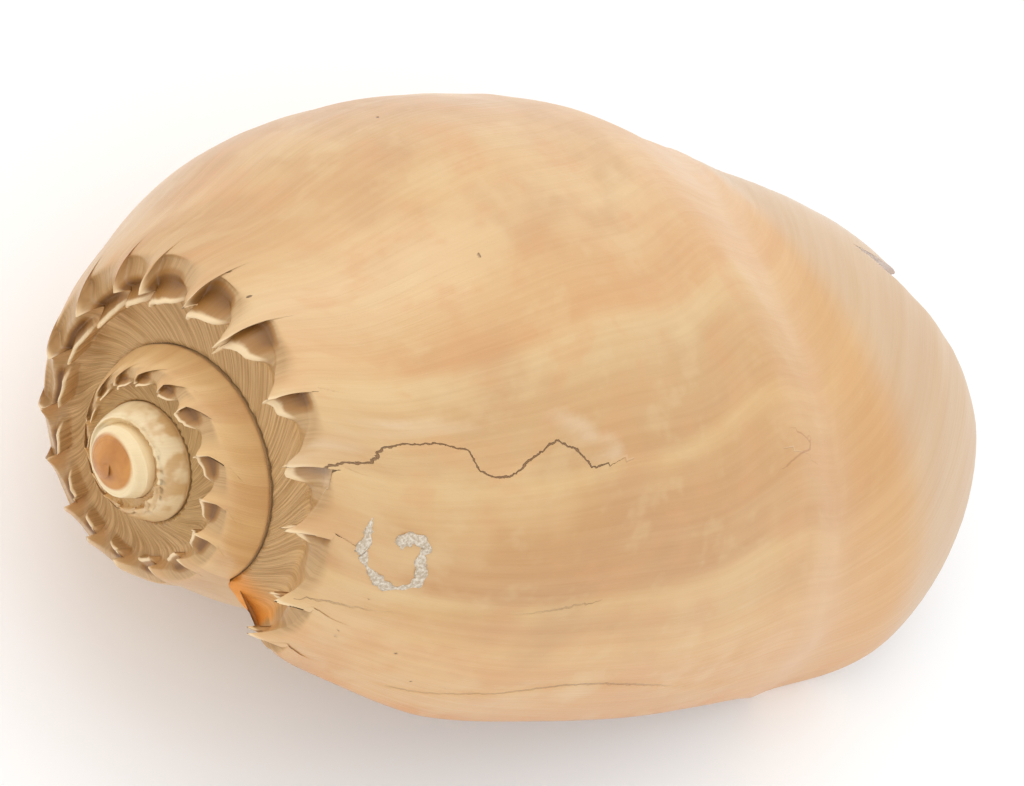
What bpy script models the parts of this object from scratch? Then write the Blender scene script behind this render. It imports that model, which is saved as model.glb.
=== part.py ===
import bpy
import bmesh
import math
from mathutils import Matrix, Vector

# every length below is in millimetres along the shell, scaled to metres when placed
MM = 0.001

# a place along the growth is counted in turns back from the lip, the lip is at 0
KEY_STEP = 0.5
KEY_START = -1.0
SUTURE_RADIUS = [70.0, 49.5, 34.5, 23.8, 16.6, 12.4, 9.8, 8.2, 6.2, 3.2, 0.0]
SUTURE_DEPTH = [43.0, 31.0, 21.0, 13.2, 8.4, 5.2, 2.6, 0.2, -2.6, -5.0, -6.0]
SHOULDER_RADIUS = [82.0, 66.0, 54.0, 42.0, 29.0, 18.5, 12.8, 10.0, 8.0, 5.4, 2.4]
SHOULDER_DEPTH = [26.0, 20.0, 15.5, 11.6, 8.0, 4.6, 1.4, -1.4, -4.0, -5.6, -6.2]
RAMP_HOLLOW = [5.0, 4.2, 3.4, 2.6, 1.8, 0.8, 0.3, 0.0, 0.0, 0.0, 0.0]
TURNS = 4.0

# middle of the first bud of the shell, beside the axis
BUD_PLACE = 0.22
BUD_RADIUS = 1.9
BUD_RISE = 6.3

# body outline from the upper side to the front margin, keyed every quarter turn
BODY_STEP = 0.25
BODY_SHRINK = 0.55
UPPER_RADIUS = [62.0, 58.6, 53.6, 44.2, 34.5]
UPPER_DEPTH = [36.0, 31.0, 27.0, 24.0, 21.0]
BODY_SHARE = [0.15, 0.31, 0.47, 0.63, 0.78, 0.90, 1.0]
BODY_RADIUS = [
    [79.9, 72.2, 66.0, 60.4, 48.0],
    [91.6, 78.4, 68.3, 60.4, 50.0],
    [98.7, 79.0, 65.0, 53.0, 46.0],
    [103.5, 77.0, 57.0, 42.0, 35.0],
    [106.1, 71.0, 44.5, 30.2, 22.0],
    [103.3, 61.0, 34.0, 21.3, 14.0],
    [73.0, 42.0, 26.0, 15.5, 9.5],
]
MARGIN_DEPTH = [243.5, 193.0, 216.0, 222.0, 230.0]
BEAK_RADIUS = [44.0, 24.0, 16.0, 12.0, 8.0]
BEAK_DEPTH = [243.0, 212.0, 226.0, 232.0, 236.0]
TIP_DEPTH = 240.0
# how far each point of a growth line trails behind its start at the suture, in turns
TRAIL = [0.0, 0.015, 0.044, 0.013, 0.008, 0.021, 0.02, 0.022, 0.0, 0.038, 0.13, 0.15]

# spines on the shoulder: place of the tip in turns and height in millimetres
SPINES = [
    (0.019, 9.0), (0.061, 7.0), (0.124, 9.0), (0.175, 8.0), (0.231, 8.0), (0.293, 9.5),
    (0.347, 9.0), (0.406, 8.0), (0.446, 6.5), (0.499, 9.0), (0.569, 9.0), (0.636, 7.0),
    (0.694, 6.5), (0.757, 6.5), (0.807, 6.0), (0.865, 6.0), (0.928, 5.0),
    (0.986, 4.0), (1.050, 4.0), (1.112, 4.0), (1.187, 4.5), (1.274, 3.5), (1.332, 3.2),
    (1.395, 3.2), (1.456, 3.0), (1.521, 2.6), (1.596, 2.4), (1.666, 2.0), (1.736, 1.8),
    (1.806, 1.5), (1.876, 1.3), (1.946, 1.1), (2.016, 0.9), (2.086, 0.7),
]
# a spine from its tip along the back to the hollow in front of the next older tip
SPINE_PROFILE = [1.0, 0.62, 0.30, 0.05, -0.22, -0.40, 0.30]
SPINE_ROW = 1.95
SPINE_ROWS = 0.75
SPINE_SHARPNESS = 1.5
SPINE_INWARD = 0.45
SPINE_UPWARD = 0.85
SPINE_STEPS = [0.0, 0.30, 0.62, 0.88]
OLD_SPINE_STEPS = [0.0, 0.22, 0.45, 0.68, 0.88]

# rows across an outline, counted in control points from the suture
UPPER_ROWS = [0.0, 0.5, 1.0, 1.5, 1.8, 2.0, 2.25, 2.6, 3.0]
LOWER_ROWS = [3.5, 4.0, 4.5, 5.0, 5.5, 6.0, 6.5, 7.0, 7.5, 8.0, 8.5, 8.8, 9.1, 9.5, 10.0, 10.5, 11.0]
SHOULDER_ROW = 2.0
BLEND_ROWS = 4.0
COLUMNS_PER_TURN = 68
SLOPE_STEP = 0.05

# inside of the last turn
WALL = 2.7
SHOULDER_WALL = 3.5
CALLUS = 1.3
HOLLOW_START = -0.012
HOLLOW_VISIBLE = 1.04
HOLLOW_VISIBLE_SECTIONS = 24
HOLLOW_END = 1.54
HOLLOW_DEEP_SECTIONS = 8
HOLLOW_TOP_ROWS = [0.9, 1.45, 2.7, 3.0]
HOLLOW_ROWS = 10
PILLAR_ROWS = 15
HOLLOW_STEP = 0.15
HOLLOW_REACH = [10.0, 10.0, 10.0, 9.5, 9.0, 8.6, 8.4, 8.3, 8.2]
HOLLOW_OPENING = [30.0, 30.0, 30.0, 0.5, 0.5, 0.5, 0.5, 0.5, 0.5]
UPPER_ROW = 3.0
PILLAR_TOP_ROW = 3.25
FOLDS = [5.4, 6.1, 6.8, 7.4]
FOLD_SLANT = 0.5
FOLD_HALF_WIDTH = 0.30
FOLD_HEIGHT = 2.2

# rest pose, aperture down: the upward direction as an angle round the axis, and the rise of the apex
REST_ROLL_DEG = 106.45
REST_PITCH_DEG = 15.5
FLAT = 0.8
GROUND_SIDE = 400.0
GROUND_HEIGHT = 20.0

SHELL_COLOUR = (0.74, 0.50, 0.27, 1.0)
SHELL_ROUGHNESS = 0.35
SHARP_ANGLE_DEG = 40.0

for old_item in list(bpy.data.objects):
    bpy.data.objects.remove(old_item, do_unlink=True)


def flow(values, place):
    """Smooth curve through evenly spaced values."""
    last = len(values) - 1
    i = min(max(int(math.floor(place)), 0), last - 1)
    t = place - i
    before = values[i - 1] if i > 0 else 2.0 * values[i] - values[i + 1]
    after = values[i + 2] if i + 2 <= last else 2.0 * values[i + 1] - values[i]
    if t < 0.0:
        return values[0] + t * (values[1] - values[0])
    if t > 1.0:
        return values[last] + (t - 1.0) * (values[last] - values[last - 1])
    start_slope = (values[i + 1] - before) / 2.0
    end_slope = (after - values[i]) / 2.0
    return (
        (1 + 2 * t) * (1 - t) ** 2 * values[i]
        + t * (1 - t) ** 2 * start_slope
        + t * t * (3 - 2 * t) * values[i + 1]
        + t * t * (t - 1) * end_slope
    )


def keyed(values, turn):
    return flow(values, (turn - KEY_START) / KEY_STEP)


def body_radius(row, turn):
    shrink = math.exp(-BODY_SHRINK * max(turn - 1.0, 0.0))
    return flow(BODY_RADIUS[row], min(turn, 1.0) / BODY_STEP) * shrink


def outline(turn):
    """Radius and depth of the control points of the growth line at a place."""
    radius = [keyed(SUTURE_RADIUS, turn), 0.0, keyed(SHOULDER_RADIUS, turn)]
    depth = [keyed(SUTURE_DEPTH, turn), 0.0, keyed(SHOULDER_DEPTH, turn)]
    if turn < 1.0:
        radius.append(flow(UPPER_RADIUS, turn / BODY_STEP))
        depth.append(flow(UPPER_DEPTH, turn / BODY_STEP))
    else:
        radius.append(keyed(SUTURE_RADIUS, turn - 1.0))
        depth.append(keyed(SUTURE_DEPTH, turn - 1.0))
    radius[1] = (radius[0] + radius[2]) / 2.0
    depth[1] = (depth[0] + depth[2]) / 2.0 + keyed(RAMP_HOLLOW, turn)
    margin = flow(MARGIN_DEPTH, min(turn, 1.0) / BODY_STEP)
    for row, share in enumerate(BODY_SHARE):
        radius.append(body_radius(row, turn))
        depth.append(depth[3] + share * (margin - depth[3]))
    radius.append(flow(BEAK_RADIUS, min(turn, 1.0) / BODY_STEP))
    depth.append(flow(BEAK_DEPTH, min(turn, 1.0) / BODY_STEP))
    return radius, depth


def spine_at(turn):
    """Height of the spine wave and its phase, 0 at a tip and 1 at the next older tip."""
    for (tip, size), (older, older_size) in zip(SPINES, SPINES[1:]):
        if tip <= turn < older:
            phase = (turn - tip) / (older - tip)
            return size + (older_size - size) * phase, phase
    if turn < SPINES[0][0]:
        gap = SPINES[1][0] - SPINES[0][0]
        return SPINES[0][1], 1.0 - (SPINES[0][0] - turn) / gap
    return 0.0, 0.0


def spine_lift(phase):
    """Tip at phase 0, a smooth back, then the hollow in front of the next tip."""
    if phase < 0.0:
        return 0.0
    return flow(SPINE_PROFILE, phase * (len(SPINE_PROFILE) - 1))


def spine_share(v):
    """How strongly a row follows the spines."""
    return max(0.0, 1.0 - abs(v - SPINE_ROW) / SPINE_ROWS) ** SPINE_SHARPNESS


def skin_point(turn, v, inset=0.0, spine_turn=None):
    """Point of the outer skin, or a point that lies inset under it."""
    radii, depths = outline(turn)
    r = flow(radii, v)
    h = flow(depths, v)
    if inset:
        dr = flow(radii, v + SLOPE_STEP) - flow(radii, v - SLOPE_STEP)
        dh = flow(depths, v + SLOPE_STEP) - flow(depths, v - SLOPE_STEP)
        size = math.hypot(dr, dh)
        r -= inset * dh / size
        h += inset * dr / size
    if spine_turn is not None:
        size, phase = spine_at(spine_turn)
        push = spine_share(v) * spine_lift(phase) * size
        r -= SPINE_INWARD * push
        h -= SPINE_UPWARD * push
    angle = 2.0 * math.pi * (turn + flow(TRAIL, v))
    return Vector((r * math.cos(angle), r * math.sin(angle), -h))


def column_places():
    """Places of the mesh columns, four or five to a spine, then evenly spaced."""
    places = [0.0]
    for (tip, _), (older, _) in zip(SPINES, SPINES[1:]):
        for step in SPINE_STEPS if tip < 1.0 else OLD_SPINE_STEPS:
            places.append(tip + step * (older - tip))
    places.append(SPINES[-1][0])
    while places[-1] < TURNS:
        places.append(places[-1] + 1.0 / COLUMNS_PER_TURN)
    return places


def build_skin():
    """Closed outer surface: the coil, the step at the lip and the front end."""
    places = column_places()
    turn_columns = min(range(len(places)), key=lambda k: abs(places[k] - 1.0))
    rows = UPPER_ROWS + LOWER_ROWS
    joint = len(UPPER_ROWS) - 1
    mesh = bmesh.new()
    grid = []
    for k, place in enumerate(places):
        column = []
        shared = grid[k - turn_columns][0] if k >= turn_columns else None
        for j, v in enumerate(rows):
            if k > turn_columns and j > joint:
                break
            if j == joint and shared is not None:
                column.append(shared)
                continue
            even = k / turn_columns if k <= turn_columns else place
            back = places[k - turn_columns] + 1.0 if k >= turn_columns else even
            blend_rows = 1.0 if k >= turn_columns else BLEND_ROWS
            blend = min(max((v - SHOULDER_ROW) / blend_rows, 0.0), 1.0)
            turn = place + blend * (back - place)
            column.append(mesh.verts.new(skin_point(turn, v, 0.0, place)))
        grid.append(column)
    for k in range(len(grid) - 1):
        for j in range(min(len(grid[k]), len(grid[k + 1])) - 1):
            mesh.faces.new((grid[k][j], grid[k][j + 1], grid[k + 1][j + 1], grid[k + 1][j]))
    close_tip(mesh, grid, turn_columns, joint)
    close_lip(mesh, grid, turn_columns, joint)
    close_front(mesh, grid, turn_columns)
    bmesh.ops.recalc_face_normals(mesh, faces=mesh.faces)
    return mesh


def close_tip(mesh, grid, turn_columns, joint):
    """The first turn ends in a dome over the last open edge."""
    rim = [column[0] for column in grid[-1 - turn_columns:]]
    rim += [vert for vert in grid[-1][1:joint]]
    angle = 2.0 * math.pi * BUD_PLACE
    top = mesh.verts.new(Vector((BUD_RADIUS * math.cos(angle), BUD_RADIUS * math.sin(angle), BUD_RISE)))
    for a, b in zip(rim, rim[1:] + rim[:1]):
        if a is not b:
            mesh.faces.new((a, b, top))


def close_lip(mesh, grid, turn_columns, joint):
    """Faces of the growth edge, between the lip and the turn under it."""
    lip = grid[0]
    under = grid[turn_columns]
    pivot = under[joint + 1]
    for j in range(joint + 1):
        mesh.faces.new((pivot, lip[j], lip[j + 1]))
    for j in range(joint + 1, len(lip) - 1):
        mesh.faces.new((lip[j], lip[j + 1], under[j + 1], under[j]))


def close_front(mesh, grid, turn_columns):
    tip = mesh.verts.new(Vector((0.0, 0.0, -TIP_DEPTH)))
    ring = [grid[k][-1] for k in range(turn_columns + 1)]
    for a, b in zip(ring, ring[1:] + ring[:1]):
        mesh.faces.new((a, b, tip))


def hollow_section(turn):
    """Closed outline of the inner space in one half plane through the axis."""
    key = min((turn + HOLLOW_STEP) / HOLLOW_STEP, len(HOLLOW_REACH) - 1.0)
    reach = flow(HOLLOW_REACH, key)
    opening = max(flow(HOLLOW_OPENING, key), HOLLOW_OPENING[-1])
    rows = [UPPER_ROW + (reach - UPPER_ROW) * k / HOLLOW_ROWS for k in range(1, HOLLOW_ROWS + 1)]
    section = []
    for v in HOLLOW_TOP_ROWS + rows:
        cover = WALL + SHOULDER_WALL * spine_share(v) * math.exp(-max(turn, 0.0))
        section.append(skin_point(turn - flow(TRAIL, v), v, cover))
    section.append(section[-1] - Vector((0.0, 0.0, opening)))
    foot = skin_point(turn + 1.0 - flow(TRAIL, reach), reach, -CALLUS)
    section.append(foot - Vector((0.0, 0.0, opening)))
    for k in range(PILLAR_ROWS + 1):
        v = reach + (PILLAR_TOP_ROW - reach) * k / PILLAR_ROWS
        section.append(skin_point(turn + 1.0 - flow(TRAIL, v), v, -CALLUS - fold_height(turn, v)))
    return section


def fold_height(turn, v):
    """Slanting folds on the pillar."""
    height = 0.0
    for fold in FOLDS:
        middle = fold + FOLD_SLANT * min(turn, 1.0)
        height += FOLD_HEIGHT * max(0.0, 1.0 - ((v - middle) / FOLD_HALF_WIDTH) ** 2)
    return height


def close_between(mesh, outer, inner):
    """Fills the plane between two chains of points that run side by side."""
    i = 0
    j = 0
    while i < len(outer) - 1 or j < len(inner) - 1:
        step_outer = j == len(inner) - 1
        if i < len(outer) - 1 and j < len(inner) - 1:
            across_outer = (outer[i + 1].co - inner[j].co).length
            across_inner = (outer[i].co - inner[j + 1].co).length
            step_outer = across_outer < across_inner
        if step_outer:
            mesh.faces.new((outer[i], outer[i + 1], inner[j]))
            i += 1
        else:
            mesh.faces.new((outer[i], inner[j + 1], inner[j]))
            j += 1


def build_hollow():
    """Solid that fills the inner space of the last turn and comes out at the aperture."""
    mesh = bmesh.new()
    sections = []
    turns = [
        HOLLOW_START + (HOLLOW_VISIBLE - HOLLOW_START) * k / HOLLOW_VISIBLE_SECTIONS
        for k in range(HOLLOW_VISIBLE_SECTIONS)
    ]
    turns += [
        HOLLOW_VISIBLE + (HOLLOW_END - HOLLOW_VISIBLE) * k / HOLLOW_DEEP_SECTIONS
        for k in range(HOLLOW_DEEP_SECTIONS + 1)
    ]
    for turn in turns:
        sections.append([mesh.verts.new(point) for point in hollow_section(turn)])
    for first, second in zip(sections, sections[1:]):
        for j in range(len(first)):
            n = (j + 1) % len(first)
            mesh.faces.new((first[j], first[n], second[n], second[j]))
    for section in (sections[0], sections[-1]):
        half = len(HOLLOW_TOP_ROWS) + HOLLOW_ROWS + 1
        close_between(mesh, section[:half], section[:half - 1:-1])
    bmesh.ops.recalc_face_normals(mesh, faces=mesh.faces)
    return mesh


def rest_matrix(mesh):
    """Turns the shell to its rest pose, with the origin under the middle of its box."""
    roll = math.radians(REST_ROLL_DEG)
    pitch = math.radians(REST_PITCH_DEG)
    up = Vector((math.cos(pitch) * math.cos(roll), math.cos(pitch) * math.sin(roll), math.sin(pitch)))
    forward = (up * up.z - Vector((0.0, 0.0, 1.0))).normalized()
    left = up.cross(forward)
    turn = Matrix((forward, left, up)).to_4x4()
    points = [turn @ vert.co for vert in mesh.verts]
    low = [min(point[axis] for point in points) for axis in range(3)]
    high = [max(point[axis] for point in points) for axis in range(3)]
    shift = Vector((-(low[0] + high[0]) / 2.0, -(low[1] + high[1]) / 2.0, -low[2] - FLAT))
    return Matrix.Scale(MM, 4) @ Matrix.Translation(shift) @ turn


def place(mesh, name, matrix):
    data = bpy.data.meshes.new(name)
    mesh.to_mesh(data)
    mesh.free()
    data.transform(matrix)
    item = bpy.data.objects.new(name, data)
    bpy.context.scene.collection.objects.link(item)
    return item


def build_ground():
    """Block below the resting plane, it leaves small flats where the shell touches down."""
    mesh = bmesh.new()
    bmesh.ops.create_cube(mesh, size=1.0)
    side = GROUND_SIDE * MM
    height = GROUND_HEIGHT * MM
    bmesh.ops.scale(mesh, vec=(side, side, height), verts=mesh.verts)
    bmesh.ops.translate(mesh, vec=(0.0, 0.0, -height / 2.0), verts=mesh.verts)
    return mesh


def cut_away(item, cutter, name):
    cutter.hide_render = True
    cutter.display_type = "WIRE"
    cut = item.modifiers.new(name, "BOOLEAN")
    cut.operation = "DIFFERENCE"
    cut.solver = "EXACT"
    cut.object = cutter


def keep_main_body(item):
    """Applies the cuts and drops the loose chips that they leave."""
    cut = item.evaluated_get(bpy.context.evaluated_depsgraph_get())
    mesh = bmesh.new()
    mesh.from_mesh(cut.to_mesh())
    waiting = set(mesh.faces)
    bodies = []
    while waiting:
        front = [waiting.pop()]
        body = set(front)
        while front:
            face = front.pop()
            for edge in face.edges:
                if len(edge.link_faces) != 2:
                    continue
                for other in edge.link_faces:
                    if other in waiting:
                        waiting.remove(other)
                        body.add(other)
                        front.append(other)
        bodies.append(body)
    main = max(bodies, key=len)
    chips = [face for body in bodies if body is not main for face in body]
    bmesh.ops.delete(mesh, geom=chips, context="FACES")
    item.modifiers.clear()
    mesh.to_mesh(item.data)
    mesh.free()


def paint(item):
    colour = bpy.data.materials.new("shell_surface")
    colour.use_nodes = True
    shader = colour.node_tree.nodes["Principled BSDF"]
    shader.inputs["Base Color"].default_value = SHELL_COLOUR
    shader.inputs["Roughness"].default_value = SHELL_ROUGHNESS
    shader.inputs["Metallic"].default_value = 0.0
    item.data.materials.append(colour)


skin = build_skin()
to_rest = rest_matrix(skin)
shell = place(skin, "shell", to_rest)
cut_away(shell, place(build_hollow(), "inner_space", to_rest), "aperture")
cut_away(shell, place(build_ground(), "ground", Matrix.Identity(4)), "rest_flats")
keep_main_body(shell)
paint(shell)
shell.data.shade_smooth()
shell.data.set_sharp_from_angle(angle=math.radians(SHARP_ANGLE_DEG))
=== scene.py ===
"""Looks of the melon shell: a fine skin with spines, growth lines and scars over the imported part."""
import math

import bmesh
import bpy
import numpy as np
from mathutils import Matrix, Vector
from mathutils.kdtree import KDTree


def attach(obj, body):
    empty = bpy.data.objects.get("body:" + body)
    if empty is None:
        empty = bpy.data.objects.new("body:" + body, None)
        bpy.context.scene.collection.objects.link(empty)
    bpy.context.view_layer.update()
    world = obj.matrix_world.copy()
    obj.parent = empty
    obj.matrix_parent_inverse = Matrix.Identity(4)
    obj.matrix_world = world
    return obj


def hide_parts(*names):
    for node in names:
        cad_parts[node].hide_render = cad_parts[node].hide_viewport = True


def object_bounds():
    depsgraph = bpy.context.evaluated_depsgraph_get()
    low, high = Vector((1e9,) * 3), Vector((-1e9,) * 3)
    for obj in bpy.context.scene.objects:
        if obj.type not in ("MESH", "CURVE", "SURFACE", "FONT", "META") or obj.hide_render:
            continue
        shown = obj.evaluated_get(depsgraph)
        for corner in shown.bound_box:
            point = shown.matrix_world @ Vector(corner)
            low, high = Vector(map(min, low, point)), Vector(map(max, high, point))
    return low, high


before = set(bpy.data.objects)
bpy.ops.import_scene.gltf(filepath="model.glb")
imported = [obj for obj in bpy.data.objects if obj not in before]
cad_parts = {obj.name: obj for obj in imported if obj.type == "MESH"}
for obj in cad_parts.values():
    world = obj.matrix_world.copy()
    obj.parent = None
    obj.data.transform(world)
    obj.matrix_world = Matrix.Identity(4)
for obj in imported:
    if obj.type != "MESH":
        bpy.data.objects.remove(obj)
packed_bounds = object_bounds()

# lengths are in millimetres along the shell, places are turns back from the lip, rows are control points
# of the growth line: 0 suture, 1 ramp, 2 shoulder, 3 next suture, 4 to 10 body, 11 beak, 12 tip
MM = 0.001
TINY = 1e-12
KEY_STEP = 0.5
KEY_START = -1.0
SUTURE_RADIUS = [70.0, 49.5, 34.5, 23.8, 16.6, 12.4, 9.8, 8.2, 6.2, 3.2, 0.0]
SUTURE_DEPTH = [43.0, 31.0, 21.0, 13.2, 8.4, 5.2, 2.6, 0.2, -2.6, -5.0, -6.0]
SHOULDER_RADIUS = [82.0, 66.0, 54.0, 42.0, 29.0, 18.5, 12.8, 10.0, 8.0, 5.4, 2.4]
SHOULDER_DEPTH = [26.0, 20.0, 15.5, 11.6, 8.0, 4.6, 1.4, -1.4, -4.0, -5.6, -6.2]
RAMP_HOLLOW = [5.0, 4.2, 3.4, 2.6, 1.8, 0.8, 0.3, 0.0, 0.0, 0.0, 0.0]
TURNS = 4.0
BUD_PLACE = 0.22
BUD_RADIUS = 1.9
BUD_RISE = 6.1
BODY_STEP = 0.25
BODY_SHRINK = 0.55
UPPER_RADIUS = [62.0, 58.6, 53.6, 44.2, 34.5]
UPPER_DEPTH = [36.0, 31.0, 27.0, 24.0, 21.0]
BODY_SHARE = [0.15, 0.31, 0.47, 0.63, 0.78, 0.90, 1.0]
BODY_RADIUS = [
    [79.9, 72.2, 66.0, 60.4, 48.0],
    [91.6, 78.4, 68.3, 60.4, 50.0],
    [98.7, 79.0, 65.0, 53.0, 46.0],
    [103.5, 77.0, 57.0, 42.0, 35.0],
    [106.1, 71.0, 44.5, 30.2, 22.0],
    [103.3, 61.0, 34.0, 21.3, 14.0],
    [73.0, 42.0, 26.0, 15.5, 9.5],
]
MARGIN_DEPTH = [243.5, 193.0, 216.0, 222.0, 230.0]
BEAK_RADIUS = [44.0, 24.0, 16.0, 12.0, 8.0]
BEAK_DEPTH = [243.0, 212.0, 226.0, 232.0, 236.0]
TIP_DEPTH = 240.0
TRAIL = [0.0, 0.015, 0.044, 0.013, 0.008, 0.021, 0.02, 0.022, 0.0, 0.038, 0.13, 0.15]
# spines, as place and height
SPINES = [
    (0.019, 9.0), (0.061, 7.0), (0.124, 9.0), (0.175, 8.0), (0.231, 8.0), (0.293, 9.5),
    (0.347, 9.0), (0.406, 8.0), (0.446, 6.5), (0.499, 9.0), (0.569, 9.0), (0.636, 7.0),
    (0.694, 6.5), (0.757, 6.5), (0.807, 6.0), (0.865, 6.0), (0.928, 5.0),
    (0.986, 4.0), (1.050, 4.0), (1.112, 4.0), (1.187, 4.5), (1.274, 3.5), (1.332, 3.2),
    (1.395, 3.2), (1.456, 3.0), (1.521, 2.6), (1.596, 2.4), (1.666, 2.0), (1.736, 1.8),
    (1.806, 1.5), (1.876, 1.3), (1.946, 1.1), (2.016, 0.9), (2.086, 0.7),
]
SPINE_INWARD = 0.45
SPINE_UPWARD = 0.85
SIZE_FADE = (0.7, 1.0)

# a spine from its rim (0) back to the rim of the next older one (1): place, ridge height, hollow depth
SHEET_PLACE = [-0.09, -0.02, 0.10, 0.23, 0.36, 0.49, 0.62, 0.74, 0.86, 0.965, 0.91]
SHEET_RIDGE = [1.0, 0.76, 0.46, 0.28, 0.17, 0.12, 0.10, 0.09, 0.10, 0.20, 1.0]
SHEET_HOLLOW = [0.0, 0.0, 0.05, 0.20, 0.45, 0.70, 0.85, 0.95, 1.0, 0.95, 0.0]
SHEET_STEPS = [
    0.0, 0.03, 0.06, 0.10, 0.15, 0.20, 0.25, 0.31, 0.37, 0.43, 0.49, 0.55, 0.61, 0.67,
    0.72, 0.77, 0.81, 0.85, 0.88, 0.905, 0.925, 0.945, 0.96, 0.975, 0.99,
]

# mesh rows, as first row, last row and count, and mesh columns
ROW_SPACING = [(0.0, 3.0, 96), (3.0, 9.0, 110), (9.0, 11.0, 30)]
SHOULDER_ROW = 2.0
BLEND_ROWS = 4.0
COLUMNS_PER_TURN = 300
SLOPE_STEP = 0.05
TIP_PLACE = 0.5
TIP_ROW = 12.0

# wall and inner space
WALL = 2.7
SHOULDER_WALL = 3.5
THICK_ROW = 1.95
THICK_ROWS = 0.75
THICK_CURVE = 1.5
CALLUS = 1.3
HOLLOW_START = -0.012
HOLLOW_VISIBLE = 1.04
HOLLOW_VISIBLE_SECTIONS = 110
HOLLOW_END = 1.54
HOLLOW_DEEP_SECTIONS = 24
HOLLOW_TOP_ROWS = [0.9, 1.45, 2.7, 3.0]
HOLLOW_ROWS = 34
PILLAR_ROWS = 48
HOLLOW_STEP = 0.15
HOLLOW_REACH = [10.0, 10.0, 10.0, 9.5, 9.0, 8.6, 8.4, 8.3, 8.2]
HOLLOW_OPENING = [30.0, 30.0, 30.0, 0.5, 0.5, 0.5, 0.5, 0.5, 0.5]
UPPER_ROW = 3.0
PILLAR_TOP_ROW = 3.25
FOLDS = [5.4, 6.1, 6.8, 7.4]
FOLD_SLANT = 0.5
FOLD_HALF_WIDTH = 0.30
FOLD_HEIGHT = 2.2
# after the cut: when a vertex is the same as before, how far the skin carries new ones, and what they get
SAME_PLACE = 0.01
EDGE_FOLLOW = 3.0
INNER_ROW = 5.0
INNER_PLACE = 0.5
EDGE_FACE_END = 0.9

# pieces and material regions
YOUNG_END = 0.45
MARK_REACH = 9.0
MARK_INSET = 6.0
SHOULDER_END = 3.02
FRONT_START = 8.6

# shell millimetres to world metres, as the part was turned to its rest pose
TO_REST = Matrix((
    (-7.567616557935253e-05, 2.562995941843838e-04, -9.636305039748549e-04, -1.188958063721657e-01),
    (-9.590672561898828e-04, -2.831785241141915e-04, 0.0, 1.862381398677826e-02),
    (-2.728794352151453e-04, 9.241864318028092e-04, 2.672383852768689e-04, 8.102562278509140e-02),
    (0.0, 0.0, 0.0, 1.0),
))
# the camera in the shell's frame, as rows right, down and forward, and the picture's width in pixels
CAMERA_ROWS = ((0.2427, 0.7046, -0.6668), (0.9692, -0.1457, 0.1987), (0.0429, -0.6945, -0.7183))
CAMERA_SHIFT = (-90.15706514791833, 15.136965872154494, 1042.2801616477975)
FOCAL_PIXELS = 4500.0
PHOTO_WIDTH = 1024.0
SENSOR_WIDTH = 36.0


def cubic(t, before, start, end, after):
    """Smooth curve from the start to the end, with the slopes that the values beside them give."""
    return (
        (1 + 2 * t) * (1 - t) ** 2 * start
        + t * (1 - t) ** 2 * (end - before) / 2
        + t * t * (3 - 2 * t) * end
        + t * t * (t - 1) * (after - start) / 2
    )


def flow(values, place):
    """Smooth curve through evenly spaced values."""
    values = np.asarray(values, dtype=float)
    place = np.asarray(place, dtype=float)
    i = np.clip(np.floor(place).astype(int), 0, len(values) - 2)
    t = place - i
    ends = np.concatenate([[2 * values[0] - values[1]], values, [2 * values[-1] - values[-2]]])
    smooth = cubic(t, *(ends[i + k] for k in range(4)))
    smooth = np.where(t < 0.0, values[0] + t * (values[1] - values[0]), smooth)
    return np.where(t > 1.0, values[-1] + (t - 1) * (values[-1] - values[-2]), smooth)


def flow_rows(stack, v):
    """Smooth curve across the control points, which differ for each vertex."""
    count = stack.shape[0]
    ends = np.concatenate([(2 * stack[0] - stack[1])[None], stack, (2 * stack[-1] - stack[-2])[None]])
    i = np.clip(np.floor(v).astype(int), 0, count - 2)
    t = v - i
    return cubic(t, *(np.take_along_axis(ends, (i + k)[None], 0)[0] for k in range(4)))


def keyed(values, turn):
    return flow(values, (turn - KEY_START) / KEY_STEP)


def outline(turn):
    """Radius and depth of the control points of the growth line at each place."""
    quarter = np.minimum(turn, 1.0) / BODY_STEP
    radius = [keyed(SUTURE_RADIUS, turn), None, keyed(SHOULDER_RADIUS, turn)]
    depth = [keyed(SUTURE_DEPTH, turn), None, keyed(SHOULDER_DEPTH, turn)]
    young = turn < 1.0
    radius.append(np.where(young, flow(UPPER_RADIUS, quarter), keyed(SUTURE_RADIUS, turn - 1.0)))
    depth.append(np.where(young, flow(UPPER_DEPTH, quarter), keyed(SUTURE_DEPTH, turn - 1.0)))
    radius[1] = (radius[0] + radius[2]) / 2
    depth[1] = (depth[0] + depth[2]) / 2 + keyed(RAMP_HOLLOW, turn)
    margin = flow(MARGIN_DEPTH, quarter)
    shrink = np.exp(-BODY_SHRINK * np.maximum(turn - 1.0, 0.0))
    for row, share in enumerate(BODY_SHARE):
        radius.append(flow(BODY_RADIUS[row], quarter) * shrink)
        depth.append(depth[3] + share * (margin - depth[3]))
    radius.append(flow(BEAK_RADIUS, quarter))
    depth.append(flow(BEAK_DEPTH, quarter))
    return np.stack(radius), np.stack(depth)


def skin_points(turn, v, inset=0.0):
    """Points of the smooth outer skin, or points that lie inset under it."""
    turn, v, inset = np.broadcast_arrays(*(np.asarray(value, float) for value in (turn, v, inset)))
    radii, depths = outline(turn)
    r = flow_rows(radii, v)
    h = flow_rows(depths, v)
    dr = flow_rows(radii, v + SLOPE_STEP) - flow_rows(radii, v - SLOPE_STEP)
    dh = flow_rows(depths, v + SLOPE_STEP) - flow_rows(depths, v - SLOPE_STEP)
    size = np.hypot(dr, dh) + 1e-9
    r = r - inset * dh / size
    h = h + inset * dr / size
    angle = 2 * math.pi * (turn + flow(TRAIL, v))
    return np.stack([r * np.cos(angle), r * np.sin(angle), -h], axis=-1)


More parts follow.
